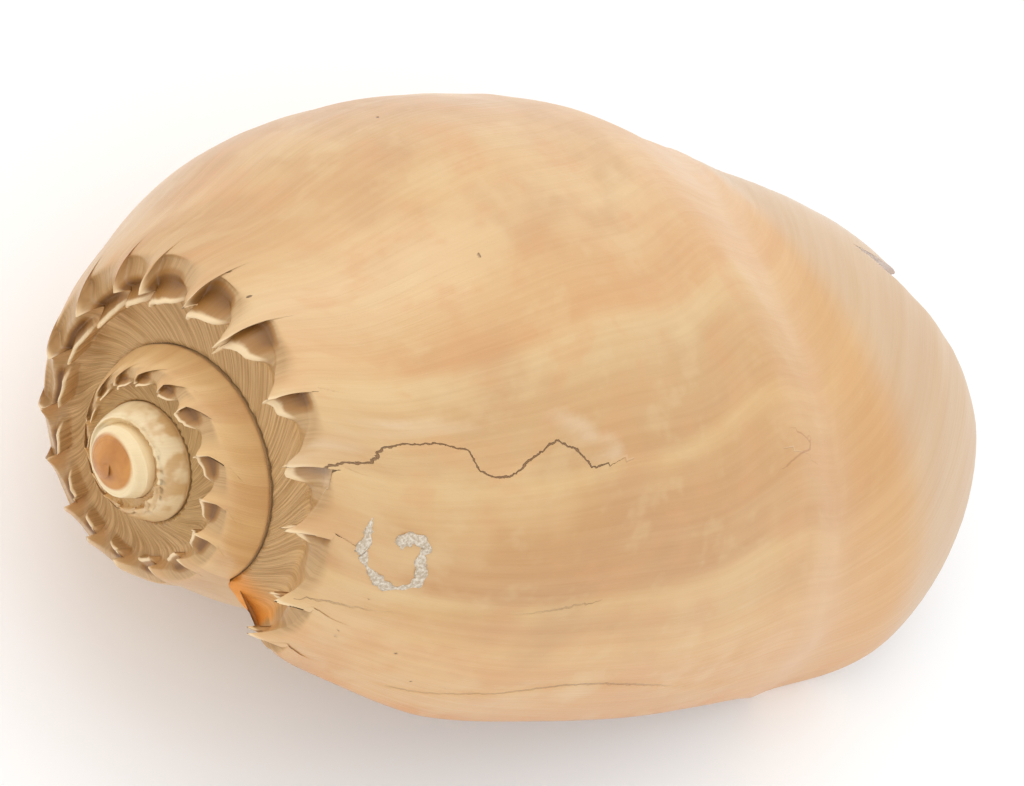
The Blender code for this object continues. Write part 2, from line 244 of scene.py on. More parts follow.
def column_places():
    """Places of the mesh columns, closer together at the rims of the spines."""
    places = []
    for (tip, _), (older, _) in zip(SPINES, SPINES[1:]):
        for step in SHEET_STEPS:
            places.append(tip + step * (older - tip))
    first = SPINES[0][0]
    gap = SPINES[1][0] - first
    young = [first + (step - 1.0) * gap for step in SHEET_STEPS]
    places = [0.0] + [place for place in young if place > 0.001] + places
    places.append(SPINES[-1][0])
    while places[-1] < TURNS:
        places.append(places[-1] + 1.0 / COLUMNS_PER_TURN)
    return np.array(places)


def row_places():
    rows = []
    for start, end, count in ROW_SPACING:
        rows += [start + (end - start) * k / count for k in range(count)]
    return np.array(rows + [ROW_SPACING[-1][1]])


def build_skin():
    """Smooth closed outer skin, with the place and row of every vertex."""
    places = column_places()
    rows = row_places()
    turn_columns = int(np.argmin(np.abs(places - 1.0)))
    joint = int(np.argmin(np.abs(rows - UPPER_ROW)))
    columns = len(places)
    index = np.full((columns, len(rows)), -1, dtype=int)
    turns = []
    spine_turns = []
    vs = []
    count = 0
    for k, place in enumerate(places):
        later = k >= turn_columns
        height = len(rows) if k <= turn_columns else joint + 1
        keep = np.ones(height, dtype=bool)
        if later:
            keep[joint] = False
            index[k, joint] = index[k - turn_columns, 0]
        v = rows[:height][keep]
        even = k / turn_columns if k <= turn_columns else place
        back = places[k - turn_columns] + 1.0 if later else even
        blend = np.clip((v - SHOULDER_ROW) / (1.0 if later else BLEND_ROWS), 0.0, 1.0)
        turns.append(place + blend * (back - place))
        spine_turns.append(np.full(len(v), place))
        vs.append(v)
        index[k, :height][keep] = np.arange(count, count + len(v))
        count += len(v)
    turn = np.concatenate(turns)
    v = np.concatenate(vs)
    spine_turn = np.concatenate(spine_turns)
    points = skin_points(turn, v)
    faces = []
    for k in range(columns - 1):
        height = min((index[k] >= 0).sum(), (index[k + 1] >= 0).sum())
        a = index[k, :height]
        b = index[k + 1, :height]
        faces += [tuple(q) for q in np.stack([a[:-1], a[1:], b[1:], b[:-1]], axis=1).tolist()]
    extra = []
    # the first turn ends in a dome over the last open edge
    angle = 2 * math.pi * BUD_PLACE
    top = count
    extra.append((BUD_RADIUS * math.cos(angle), BUD_RADIUS * math.sin(angle), BUD_RISE))
    rim = index[columns - 1 - turn_columns:, 0].tolist() + index[columns - 1, 1:joint].tolist()
    faces += [(a, b, top) for a, b in zip(rim, rim[1:] + rim[:1]) if a != b]
    # the growth edge, between the lip and the turn under it
    lip = index[0]
    under = index[turn_columns]
    pivot = int(under[joint + 1])
    faces += [(pivot, int(lip[j]), int(lip[j + 1])) for j in range(joint + 1)]
    for j in range(joint + 1, len(rows) - 1):
        faces.append((int(lip[j]), int(lip[j + 1]), int(under[j + 1]), int(under[j])))
    # the front end
    tip = count + 1
    extra.append((0.0, 0.0, -TIP_DEPTH))
    ring = index[:turn_columns + 1, -1].tolist()
    faces += [(a, b, tip) for a, b in zip(ring, ring[1:] + ring[:1])]
    points = np.concatenate([points, np.array(extra)])
    turn = np.concatenate([turn, [TURNS, TIP_PLACE]])
    spine_turn = np.concatenate([spine_turn, [TURNS, TIP_PLACE]])
    v = np.concatenate([v, [0.0, TIP_ROW]])
    return points, faces, turn, spine_turn, v


def spine_share(v):
    """How much of the thicker wall under the spines each row has."""
    return np.maximum(0.0, 1.0 - np.abs(v - THICK_ROW) / THICK_ROWS) ** THICK_CURVE


def fold_height(turn, v):
    """Slanting folds on the pillar."""
    height = np.zeros_like(v)
    for fold in FOLDS:
        middle = fold + FOLD_SLANT * min(turn, 1.0)
        height += FOLD_HEIGHT * np.maximum(0.0, 1.0 - ((v - middle) / FOLD_HALF_WIDTH) ** 2)
    return height


def hollow_section(turn):
    """Closed outline of the inner space in one half plane through the axis."""
    key = min((turn + HOLLOW_STEP) / HOLLOW_STEP, len(HOLLOW_REACH) - 1.0)
    reach = float(flow(HOLLOW_REACH, key))
    opening = max(float(flow(HOLLOW_OPENING, key)), HOLLOW_OPENING[-1])
    lower = np.linspace(UPPER_ROW, reach, HOLLOW_ROWS + 1)[1:]
    v = np.concatenate([HOLLOW_TOP_ROWS, lower])
    cover = WALL + SHOULDER_WALL * spine_share(v) * math.exp(-max(turn, 0.0))
    outer = skin_points(turn - flow(TRAIL, v), v, cover)
    drop = np.array([0.0, 0.0, opening])
    foot = skin_points(turn + 1.0 - flow(TRAIL, reach), reach, -CALLUS)
    v = reach + (PILLAR_TOP_ROW - reach) * np.arange(PILLAR_ROWS + 1) / PILLAR_ROWS
    pillar = skin_points(turn + 1.0 - flow(TRAIL, v), v, -CALLUS - fold_height(turn, v))
    return np.concatenate([outer, [outer[-1] - drop], [foot - drop], pillar])


def close_between(mesh, outer, inner):
    """Fills the plane between two chains of points that run side by side."""
    i = 0
    j = 0
    while i < len(outer) - 1 or j < len(inner) - 1:
        step_outer = j == len(inner) - 1
        if i < len(outer) - 1 and j < len(inner) - 1:
            across_outer = (outer[i + 1].co - inner[j].co).length
            across_inner = (outer[i].co - inner[j + 1].co).length
            step_outer = across_outer < across_inner
        if step_outer:
            mesh.faces.new((outer[i], outer[i + 1], inner[j]))
            i += 1
        else:
            mesh.faces.new((outer[i], inner[j + 1], inner[j]))
            j += 1


def build_hollow():
    """Solid that fills the inner space of the last turn and comes out at the aperture."""
    mesh = bmesh.new()
    visible = np.linspace(HOLLOW_START, HOLLOW_VISIBLE, HOLLOW_VISIBLE_SECTIONS, endpoint=False)
    deep = np.linspace(HOLLOW_VISIBLE, HOLLOW_END, HOLLOW_DEEP_SECTIONS + 1)
    sections = []
    for turn in np.concatenate([visible, deep]):
        sections.append([mesh.verts.new(point) for point in hollow_section(float(turn))])
    for first, second in zip(sections, sections[1:]):
        for j in range(len(first)):
            n = (j + 1) % len(first)
            mesh.faces.new((first[j], first[n], second[n], second[j]))
    half = len(HOLLOW_TOP_ROWS) + HOLLOW_ROWS + 1
    for section in (sections[0], sections[-1]):
        close_between(mesh, section[:half], section[:half - 1:-1])
    bmesh.ops.recalc_face_normals(mesh, faces=mesh.faces)
    data = bpy.data.meshes.new("inner_space")
    mesh.to_mesh(data)
    mesh.free()
    return data


def in_main_body(faces, count):
    """Which faces belong to the largest connected body."""
    label = np.arange(count)
    edges = np.array([(face[i - 1], face[i]) for face in faces for i in range(len(face))])
    settled = False
    while not settled:
        before = label.copy()
        low = np.minimum(label[edges[:, 0]], label[edges[:, 1]])
        np.minimum.at(label, edges[:, 0], low)
        np.minimum.at(label, edges[:, 1], low)
        label = label[label]
        settled = bool((label == before).all())
    main = np.bincount(label).argmax()
    return np.array([label[face[0]] == main for face in faces])


def carve(points, faces, hollow):
    """Cuts the inner space from the skin: vertices, faces, the skin vertex that each was, inner faces."""
    data = bpy.data.meshes.new("skin")
    data.from_pydata(points.tolist(), [], faces)
    mesh = bmesh.new()
    mesh.from_mesh(data)
    bmesh.ops.recalc_face_normals(mesh, faces=mesh.faces)
    mesh.to_mesh(data)
    mesh.free()
    origin = data.attributes.new("origin", "INT", "POINT")
    origin.data.foreach_set("value", np.arange(1, len(points) + 1, dtype=np.int32))
    data.materials.append(bpy.data.materials.new("outside"))
    hollow.materials.append(bpy.data.materials.new("inside"))
    outer = bpy.data.objects.new("skin", data)
    inner = bpy.data.objects.new("inner_space", hollow)
    for item in (outer, inner):
        bpy.context.scene.collection.objects.link(item)
    cut = outer.modifiers.new("aperture", "BOOLEAN")
    cut.operation = "DIFFERENCE"
    cut.solver = "EXACT"
    cut.material_mode = "TRANSFER"
    cut.object = inner
    done = outer.evaluated_get(bpy.context.evaluated_depsgraph_get()).to_mesh()
    count = len(done.vertices)
    where = np.empty(count * 3)
    done.vertices.foreach_get("co", where)
    was = np.empty(count, dtype=np.int32)
    done.attributes["origin"].data.foreach_get("value", was)
    new_faces = [tuple(face.vertices) for face in done.polygons]
    slots = np.empty(len(done.polygons), dtype=np.int32)
    done.polygons.foreach_get("material_index", slots)
    for item in (outer, inner):
        bpy.data.objects.remove(item, do_unlink=True)
    where = where.reshape(-1, 3)
    # a vertex that the cut made can carry a false number, so the places are compared
    was -= 1
    was[np.linalg.norm(where - points[was], axis=1) > SAME_PLACE] = -1
    whole = in_main_body(new_faces, count)
    return where, [face for face, good in zip(new_faces, whole) if good], was, slots[whole]


def nearest_skin(points, skin, found):
    """Number of the kept skin vertex nearest each point, and its distance."""
    tree = KDTree(len(found))
    for number in found:
        tree.insert(skin[number], int(number))
    tree.balance()
    hits = [tree.find(point) for point in points]
    return np.array([hit[1] for hit in hits]), np.array([hit[2] for hit in hits])


# repeatable noise, and how each finer layer of it differs from the one before
SEED = 7
NOISE_SIZE = 256
noise_table = np.random.default_rng(SEED).random((NOISE_SIZE, NOISE_SIZE))
OCTAVES = 4
FINER_WEIGHT = 0.6
FINER_SHIFT = (17.3, 9.1)

# how far a growth line runs ahead of its place, in turns, at each control point
LINE_AHEAD = [-0.030, 0.012, -0.006, 0.006, 0.010, 0.0, 0.0, 0.010, 0.021, 0.004, -0.035, -0.08, -0.1]
# length along a growth line from the suture to each control point
LINE_LENGTH = [0.0, 18.0, 36.0, 52.0, 82.0, 114.0, 147.0, 180.0, 212.0, 238.0, 256.0, 280.0, 300.0]
TURN_LENGTH = 490.0

# crest of the spines: its row at each place, and its width in rows towards the ramp and the body
RIDGE_ROW = [(0.10, 1.95), (0.30, 1.88), (0.42, 1.72), (1.0, 1.72)]
RIDGE_RAMP_SIDE = 0.42
RIDGE_BODY_SIDE = 0.26
RIDGE_BODY_SPREAD = 0.66
RIDGE_FOOT = 0.17
RIDGE_WIDENING = 0.8
RAMP_SIDE_CURVE = 1.6
BODY_SIDE_CURVE = 1.5
# scoop under each spine
HOLLOW_ROW = 1.92
HOLLOW_SPREAD = 0.36
HOLLOW_SIZE = 0.36
# thin wall between a scoop and the ramp: its row and first phase at each place
WALL_ROW = [(0.10, 1.72), (0.30, 1.66), (0.40, 1.44), (0.50, 1.26), (0.8, 1.44), (1.0, 1.48)]
WALL_START = [(0.1, 0.62), (0.35, 0.28), (1.0, 0.28), (1.4, 0.45)]
WALL_SPREAD = 0.19
WALL_RISE = 0.22
WALL_SIZE = 0.52
WALL_GROWTH = 0.46
# the sheet leans forwards at the rim, and its foot on the ramp side lies further back
LEAN_ROWS = 1.15
FOOT_BACK = 0.2
FOOT_FADE = (2.0, 1.2)
FOOT_ROW = 1.5
FOOT_ROWS = 1.4
# spines are lower at the lip, as the share there and the turns to full size
LIP_SPINE_SHARE = 0.35
LIP_SPINE_REACH = 0.012
# what differs from one spine to the next
OWN_GRAIN = 3.7
OWN_OFFSET = (0.5, 5.5)
OWN_WOBBLE = 0.10
OWN_WIDTH = 0.25
# noises: height, grains in a unit along and down, and offsets along and down
WOBBLE = [(0.05, 90, 0, 0, 2.5)]
CRINKLE = [(0.12, 160, 1.7, 0, 30), (0.10, 60, 2.5, 0, 0)]
# colour masks of the spines, in rows and phases; the deepest part of each scoop and the stretch behind each spine
# carry painted shade
RIM_HEIGHT_FADE = (0.2, 1.0)
RIM_CURVE = 1.5
RIM_PHASE_FADE = (0.13, 0.0)
CREST_SHARE = 0.22
CREST_ROWS = 0.12
CREST_FULL_SIZE = 8.0
WALL_RIM_SHARE = 1.1
WALL_RIM_ROW = 0.01
WALL_RIM_ROWS = 0.075
DEEP_ROW = 0.20
DEEP_ROWS = 0.24
# painted shade between the spines: the rows and phases that the darker stretch behind each spine covers
PAINTED_SPINE_SHADE_ROWS = [(1.20, 0.0), (1.36, 1.0), (2.02, 1.0), (2.20, 0.0)]
PAINTED_SPINE_SHADE_PHASES = [(0.12, 0.0), (0.34, 1.0), (0.97, 1.0), (1.0, 0.0)]
SMALL_SPINE = 3.0

# relief of the surface in millimetres, with the rows and places where it fades in or out
BODY_LINES = [(0.07, 95, 1 / 110, 0, 0), (0.035, 260, 1 / 90, 0, 9), (0.24, 22, 1 / 90, 3, 0)]
BODY_FADE = (2.3, 3.1)
OLD_BODY_SHARE = 0.3
LUMPS = [(0.12, 1 / 9, 1 / 9, 20, 0)]
LUMPS_FADE = (3.0, 2.0)
RAMP_LINES = [(0.16, 230, 1 / 12, 0, 40), (0.26, 110, 1 / 16, 7, 60)]
RAMP_FADE = (1.5, 1.2)
RAMP_SUTURE_FADE = (0.0, 0.08)
RAMP_LIP_FADE = (0.012, 0.042)
RAMP_END = 2.2
RAMP_SHARE = [(0.6, 1.0), (2.1, 0.25)]
SUTURE_GROOVE = 0.9
SUTURE_ROWS = 0.045
SUTURE_FADE = (2.7, 1.7)
BEADS_PER_TURN = 46
BEAD_GROOVE = 0.5
BEAD_ROW = 0.07
BEAD_ROWS = 0.05
BEAD_END = 1.6
NODULES = [(0.45, 75, 1.6, 0, 12), (0.25, 190, 3, 0, 4)]
NODULE_PLACE = 2.05
NODULE_REACH = 0.45
NODULE_ROW = 1.6
NODULE_ROWS = 1.3
LIP_ROUNDING = 1.1
LIP_ROUND_REACH = WALL / 1.6
LIP_END = 0.02
# the first turn is a dome of this height, which falls with the square of the distance from the axis
DOME_TOP = 6.3
DOME_FALL = 0.060
DOME_FADE = (2.42, 2.82)
DOME_ROW_FADE = (2.95, 1.65)
DOME_SHARE = 0.9
DOME_SEAM_SHARE = 0.96
DOME_TOP_FADE = (3.3, 3.7)
NORMAL_TURN = 0.0008
NORMAL_ROW = 0.02

# old break and other marks, as places and rows
BREAK_LINE = [
    (0.165, 2.18), (0.177, 2.37), (0.187, 2.68), (0.1997, 2.8), (0.2057, 3.0), (0.207, 3.3), (0.202, 3.55),
    (0.190, 3.62), (0.185, 3.74), (0.1857, 3.89), (0.192, 4.05), (0.197, 4.3), (0.187, 4.49), (0.175, 4.61),
    (0.174, 4.72),
]
STEP_LINE = [(0.067, 2.2), (0.075, 2.5), (0.083, 2.8), (0.092, 3.2), (0.1, 3.6), (0.105, 4.0), (0.104, 4.6)]
LIP_STEP_LINE = [(0.0275, 3.6), (0.040, 4.1), (0.044, 4.74), (0.038, 5.6), (0.026, 6.6)]
CURL_LINE = [(0.146, 6.8), (0.150, 7.0), (0.155, 7.25), (0.160, 7.3), (0.162, 7.1)]
# each mark's line, the height of the step along it, and how far the step reaches
SCARS = {
    "break": (BREAK_LINE, 0.32, 9.0),
    "step": (STEP_LINE, 0.22, 8.0),
    "lip_step": (LIP_STEP_LINE, 0.20, 8.0),
    "curl": (CURL_LINE, 0.0, 1.0),
}
SCAR_EDGE = 0.8
MARK_LIMIT = 12.0
# small pits: place, row and radius
PITS = [
    (0.051, 2.70, 0.7), (0.056, 2.68, 0.5), (0.092, 2.82, 0.5), (0.053, 3.30, 0.8), (0.058, 3.33, 0.6),
    (0.040, 3.87, 0.6), (0.038, 3.60, 0.5), (0.243, 3.84, 0.6), (0.297, 4.24, 1.0), (0.312, 2.20, 0.8),
    (0.343, 2.30, 0.8), (0.387, 3.77, 0.5), (0.404, 4.70, 0.9), (0.100, 7.05, 0.6), (0.011, 5.27, 0.6),
    (0.210, 3.42, 0.5),
]
TUBE_LINE = [
    (0.149, 2.66), (0.142, 2.63), (0.135, 2.62), (0.127, 2.60), (0.120, 2.60), (0.113, 2.66), (0.109, 2.77),
    (0.107, 2.90), (0.108, 3.03), (0.113, 3.15), (0.120, 3.21), (0.128, 3.19), (0.136, 3.18), (0.142, 3.21),
    (0.146, 3.10), (0.142, 3.00), (0.136, 2.99),
]
TUBE_RINGS = 110
TUBE_SIDES = 12
TUBE_AHEAD = 0.0005
TUBE_RADIUS = 1.15
# change of the radius: millimetres, rings to a grain and offset
TUBE_SWELLING = [(0.75, 6.0, 3.3), (0.45, 2.0, 8.3)]
TUBE_LUMPS = 0.25
TUBE_LUMP_RINGS = 2.5
TUBE_LUMP_SHIFT = 11
TUBE_FLATNESS = 0.34
TUBE_END_RINGS = 3.0
TUBE_END_SHARE = 0.15

# colour patterns: distance in millimetres to a grain, and offsets
BAND_WAVER = [(0.006, 1 / 30, 1 / 40, 0, 0)]
WIDE_GRAIN = (12, 60)
CLOUD_GRAIN = 32
CLOUD_SHIFT = (5.5, 2.5)
UV_PER_MM = 0.01

# display colours of the growth bands, at each place on the last turn
BANDS = [
    (0.000, (228, 166, 108)), (0.010, (226, 174, 122)), (0.045, (229, 181, 130)), (0.062, (234, 194, 147)),
    (0.085, (225, 182, 135)), (0.099, (236, 202, 156)), (0.107, (213, 166, 120)), (0.150, (216, 172, 126)),
    (0.164, (222, 181, 136)), (0.172, (232, 197, 152)), (0.180, (216, 175, 131)), (0.215, (221, 184, 142)),
    (0.233, (235, 205, 166)), (0.242, (228, 182, 138)), (0.265, (230, 191, 149)), (0.300, (236, 204, 167)),
    (0.330, (232, 196, 155)), (0.370, (223, 184, 143)), (0.405, (215, 174, 132)), (0.450, (212, 170, 129)),
    (0.510, (215, 178, 140)), (0.560, (224, 189, 150)), (0.620, (216, 178, 137)), (0.700, (227, 190, 149)),
    (0.780, (217, 176, 133)), (0.860, (229, 193, 152)), (0.940, (220, 178, 134)), (1.000, (224, 186, 144)),
]
# tints: what they follow, where they start and are full, their strength and colour
BODY_TINTS = [
    ("wide", 0.50, 0.80, 0.24, (222, 166, 116)),
    ("wide", 0.46, 0.20, 0.22, (236, 210, 172)),
    ("cloud", 0.50, 0.76, 0.50, (210, 166, 126)),
    ("cloud", 0.46, 0.22, 0.42, (241, 212, 172)),
    ("blotch", 0.50, 0.72, 0.40, (227, 175, 131)),
    ("blotch", 0.48, 0.30, 0.26, (238, 212, 176)),
    ("row", 6.0, 8.0, 0.6, (233, 184, 131)),
]
SPINE_TINTS_AND_SHADE = [
    # the amber in the scoops is the shell's own colour; the darker brown deepest in each scoop is painted shade
    ("hollow", 0.14, 0.66, 0.88, (158, 108, 46)),
    ("hollow", 0.60, 0.97, 0.65, (104, 64, 24)),
    ("rim", 0.15, 0.7, 0.9, (242, 214, 170)),
]
CREAM_TINT = (2.30, 2.50, 1.0, (254, 236, 206))
LIP_TINT = (0.055, 0.012, 1.0, (248, 162, 66))
INSIDE_TINT = (0.5, 0.8, 0.25, (240, 208, 166))
# pairs of tones: where a pattern starts to turn from the first to the second, where it ends, and both
OLD_TONES = (0.3, 0.7, (241, 205, 157), (230, 188, 140))
OLD_RAMP_TONES = (0.35, 0.68, (202, 162, 108), (232, 194, 142))
CHALK_TONES = (0.40, 0.62, (248, 230, 202), (220, 184, 138))
CAP_TONES = (0.35, 0.7, (216, 152, 80), (194, 128, 60))
RAMP_TONES = (0.35, 0.68, (196, 152, 96), (226, 186, 130))
# painted shade behind each spine: darker grey-tan tones
PAINTED_SPINE_SHADE_TONES = (0.3, 0.7, (172, 134, 86), (194, 156, 108))
INSIDE_TONES = (0.35, 0.68, (234, 192, 142), (222, 162, 108))
CRUST_TONES = (0.35, 0.7, (188, 170, 146), (228, 217, 199))
FRONT_TONES = ((194, 164, 128), (212, 193, 169))
STREAK_TONES = ((252, 251, 250), (250, 232, 204))
STREAK_FADE = (0.35, 0.65)
STREAK_SHARE = 0.03
SKIN_GAIN = (0.86, 0.80, 0.64, 1.0)
RAMP_COLOUR_FADE = (1.55, 1.25)
CHALK_FADE = (1.80, 2.15)
CAP_FADE = (7.3, 6.3)
KEEL_FADE = (8.62, 9.25, 0.0, 0.6)
# how strongly the painted shade behind each spine is mixed in
PAINTED_SPINE_SHADE_SHARE = 0.82
SEAM_COLOUR = (96, 64, 38)
SEAM_WIDTH = 0.055
SEAM_FADE = (2.7, 2.5, 0.0, 0.6)
UPPER_SEAM = (2.998, 3.01)
UPPER_SEAM_SHARE = 0.4
# streaks along the growth lines: width, length, layers and roughness
FINE_STREAK = (2.2, 90, 3.0, 0.6)
RAMP_STREAK = (1.6, 40, 3.0, 0.65)
FRONT_STREAK = (5, 30, 3.0, 0.55)
LINE_STREAK = (0.9, 60, 3.0, 0.7)
BLOTCH = (13, 17, 3.0, 0.6)
RAGGED = (1.5, 1.5, 2.0, 0.55)
CHIP_GRAIN = 190.0
SEAM_GRAIN = 1.1
# marks: offset noises, widths and colours
BLOCK = 2.6
BLOCK_SHIFT = 4.0
JAG = 3.2
BREAK_WIDTH = (0.28, 0.06)
BREAK_COLOUR = (122, 82, 46)
BREAK_SHARE = 0.85
WORN_AT = 4.0
WORN_FADE = (4.5, 0.5, 0.0, 0.55)
WORN_SPREAD = (0.3, 0.6)
WORN_COLOUR = (232, 208, 176)
STEP_WIDTH = (0.30, 0.05)
STEP_FADE = (0.38, 0.62)
STEP_SHARE = 0.22
STEP_COLOUR = (150, 104, 64)
CURL_WIDTH = (0.40, 0.10, 0.0, 0.6)
CURL_COLOUR = (176, 122, 70)
PIT_EDGE = (0.0, -0.5)
PIT_SHARE = 0.8
PIT_COLOUR = (112, 72, 42)
MARK_RAGGED = 0.4
STEP_CUT = 0.6
CUT_HEIGHT = 2.2
# roughness, fine relief and gloss
ROUGHNESS = (0.22, 0.24)
RAMP_ROUGHNESS = 0.16
LINE_HEIGHT = 0.55
RAMP_LINE_HEIGHT = 1.1
OLD_LINE_FADE = (1.2, 2.2, 0.7, 0.02)
GRAIN_SIZE = 900.0
GRAIN_HEIGHT = 0.12
SKIN_RELIEF = 0.00022
SKIN_COAT = (0.18, 0.22)
SKIN_SPECULAR = 0.45
INSIDE_GRAINS = (14.0, 120.0, 220.0)
INSIDE_ROUGHNESS = (0.14, 0.16)
INSIDE_RELIEF = 0.00012
INSIDE_COAT = (0.4, 0.12)
CRUST_GRAIN = 1400.0
CRUST_RELIEF = 0.0003
CRUST_ROUGHNESS = 0.75

# studio: lights as name, direction (right, up, back), distance, size and power
FLOOR_HALF = 6.0
FLOOR_COLOUR = (0.99, 0.99, 0.99, 1.0)
FLOOR_ROUGHNESS = 0.9
WORLD_COLOUR = (1.0, 1.0, 1.0, 1.0)
WORLD_STRENGTH = 1.03
LIGHT_TARGET = (0.0, 0.0, 0.06)
LIGHTS = [
    ("key_light", (0.25, 1.0, 0.9), 1.5, 1.3, 4.0),
    ("fill_light", (-1.0, 0.1, 0.6), 1.8, 1.2, 1.0),
]
VIEW_END = 20.0


def noise(x, y):
    """Smooth repeatable noise from -1 to 1 with a grain of one unit."""
    xi = np.floor(x).astype(int)
    yi = np.floor(y).astype(int)
    fx = ease(x - xi)
    fy = ease(y - yi)
    corner = [noise_table[(xi + i) % NOISE_SIZE, (yi + j) % NOISE_SIZE] for i in (0, 1) for j in (0, 1)]
    low = corner[0] * (1 - fy) + corner[1] * fy
    high = corner[2] * (1 - fy) + corner[3] * fy
    return 2 * (low * (1 - fx) + high * fx) - 1


def fractal(x, y):
    """Layered noise from 0 to 1 with its largest grain of one unit."""
    total = 0.0
    for k in range(OCTAVES):
        shifted = noise(x * 2 ** k + FINER_SHIFT[0] * k, y * 2 ** k + FINER_SHIFT[1] * k)
        total = total + FINER_WEIGHT ** k * shifted
    return 0.5 + 0.5 * total * (1 - FINER_WEIGHT) / (1 - FINER_WEIGHT ** OCTAVES)


def layered(layers, x, y):
    """Sum of noises, each with its height, its grains and its offsets."""
    total = 0.0
    for height, along, down, ahead, below in layers:
        total = total + height * noise(x * along + ahead, y * down + below)
    return total


def bump(distance):
    """Round hump, 1 at the middle and 0 from a distance of 1."""
    return np.clip(1 - distance * distance, 0.0, 1.0) ** 2


def ease(share):
    """Starts and ends softly between 0 and 1."""
    return share * share * (3 - 2 * share)


def fade(value, start, end):
    """Goes from 0 at the start to 1 at the end and stays there."""
    return np.clip((value - start) / (end - start), 0.0, 1.0)


def between(value, pairs):
    """Straight lines between pairs of position and result."""
    return np.interp(value, *zip(*pairs))


def line_distance(x, y, line):
    """Signed distance in millimetres to a jagged line of places and rows."""
    px = np.array([p[0] for p in line]) * TURN_LENGTH
    py = flow(LINE_LENGTH, np.array([p[1] for p in line]))
    best = np.full(x.shape, np.inf)
    side = np.ones(x.shape)
    for i in range(len(line) - 1):
        dx = px[i + 1] - px[i]
        dy = py[i + 1] - py[i]
        t = np.clip(((x - px[i]) * dx + (y - py[i]) * dy) / (dx * dx + dy * dy), 0.0, 1.0)
        gap = np.hypot(x - px[i] - t * dx, y - py[i] - t * dy)
        nearer = gap < best
        best = np.where(nearer, gap, best)
        side = np.where(nearer, np.sign((x - px[i]) * dy - (y - py[i]) * dx), side)
    return best * side


def spine_state(place):
    """Size, phase and number of the spine interval that each place lies in."""
    tips = np.array([tip for tip, _ in SPINES])
    sizes = np.array([size for _, size in SPINES])
    i = np.clip(np.searchsorted(tips, place, side="right") - 1, -1, len(tips) - 2)
    start = np.where(i < 0, 2 * tips[0] - tips[1], tips[np.maximum(i, 0)])
    end = np.where(i < 0, tips[0], tips[np.maximum(i, 0) + 1])
    phase = np.clip((place - start) / (end - start), 0.0, 1.0)
    near = np.where(i < 0, sizes[0], sizes[np.maximum(i, 0)])
    far = np.where(i < 0, sizes[0], sizes[np.maximum(i, 0) + 1])
    size = near + (far - near) * fade(phase, *SIZE_FADE)
    return np.where(place > tips[-1], 0.0, size), phase, end - start, i


def spine_sheets(turn, place, v):
    """Turn to which the spines carry each point, how far they push it out, and their colour masks, some of which
    carry painted shade.
    """
    size, phase, gap, number = spine_state(place)
    size = size * np.clip(LIP_SPINE_SHARE + turn / LIP_SPINE_REACH, 0.0, 1.0)
    step = phase * (len(SHEET_PLACE) - 1)
    sheets = (SHEET_PLACE, SHEET_RIDGE, SHEET_HOLLOW)
    moved, ridge, hollow = (np.interp(step, np.arange(len(sheet)), sheet) for sheet in sheets)
    own = noise(number * OWN_GRAIN + OWN_OFFSET[0], number * 0.0 + OWN_OFFSET[1])
    wobble = OWN_WOBBLE * own + layered(WOBBLE, place, v)
    from_ridge = v - between(place, RIDGE_ROW) - wobble
    from_wall = v - between(place, WALL_ROW) - wobble
    ramp_side = from_ridge < 0
    spread = RIDGE_BODY_SIDE + RIDGE_BODY_SPREAD * fade(ridge, RIDGE_FOOT, 1.0) ** RIDGE_WIDENING
    reach = np.where(ramp_side, -from_ridge / RIDGE_RAMP_SIDE, from_ridge / spread)
    crest = np.clip(1 - reach, 0.0, 1.0) ** np.where(ramp_side, RAMP_SIDE_CURVE, BODY_SIDE_CURVE)
    well = bump((v - HOLLOW_ROW - wobble) / (HOLLOW_SPREAD * (1 + OWN_WIDTH * own)))
    wall_start = between(place, WALL_START) + OWN_WOBBLE * own
    rise = ease(fade(phase, wall_start, wall_start + WALL_RISE))
    wall = rise * (WALL_SIZE + WALL_GROWTH * phase ** 2) * bump(from_wall / WALL_SPREAD)
    lift = np.maximum(ridge * crest, wall) * (1.0 + layered(CRINKLE, place, v))
    push = size * (lift - HOLLOW_SIZE * hollow * well)
    turned = turn + gap * (moved - phase) * bump(from_ridge / LEAN_ROWS) * (size > 0)
    turned = turned + FOOT_BACK * gap * fade(v, *FOOT_FADE) * bump((v - FOOT_ROW) / FOOT_ROWS)

    rim = fade(ridge * crest, *RIM_HEIGHT_FADE) ** RIM_CURVE
    rim = rim * fade(np.minimum(phase, 1 - phase), *RIM_PHASE_FADE)
    rim = np.maximum(rim, CREST_SHARE * bump(from_ridge / CREST_ROWS) * fade(size, 0.0, CREST_FULL_SIZE))
    rim = np.maximum(rim, WALL_RIM_SHARE * rise * bump((from_wall - WALL_RIM_ROW) / WALL_RIM_ROWS))
    shown = fade(size, 0.0, SMALL_SPINE)
    masks = {
        "rim": rim * shown,
        # the deep part of each scoop, tinted amber and, deepest, a painted shade of dark brown
        "hollow": rise * bump((from_wall - DEEP_ROW) / DEEP_ROWS) * shown,
        # painted shade over the stretch behind each spine
        "painted_spine_shade": between(v, PAINTED_SPINE_SHADE_ROWS) * between(phase, PAINTED_SPINE_SHADE_PHASES) * shown,
    }
    return turned, push, masks


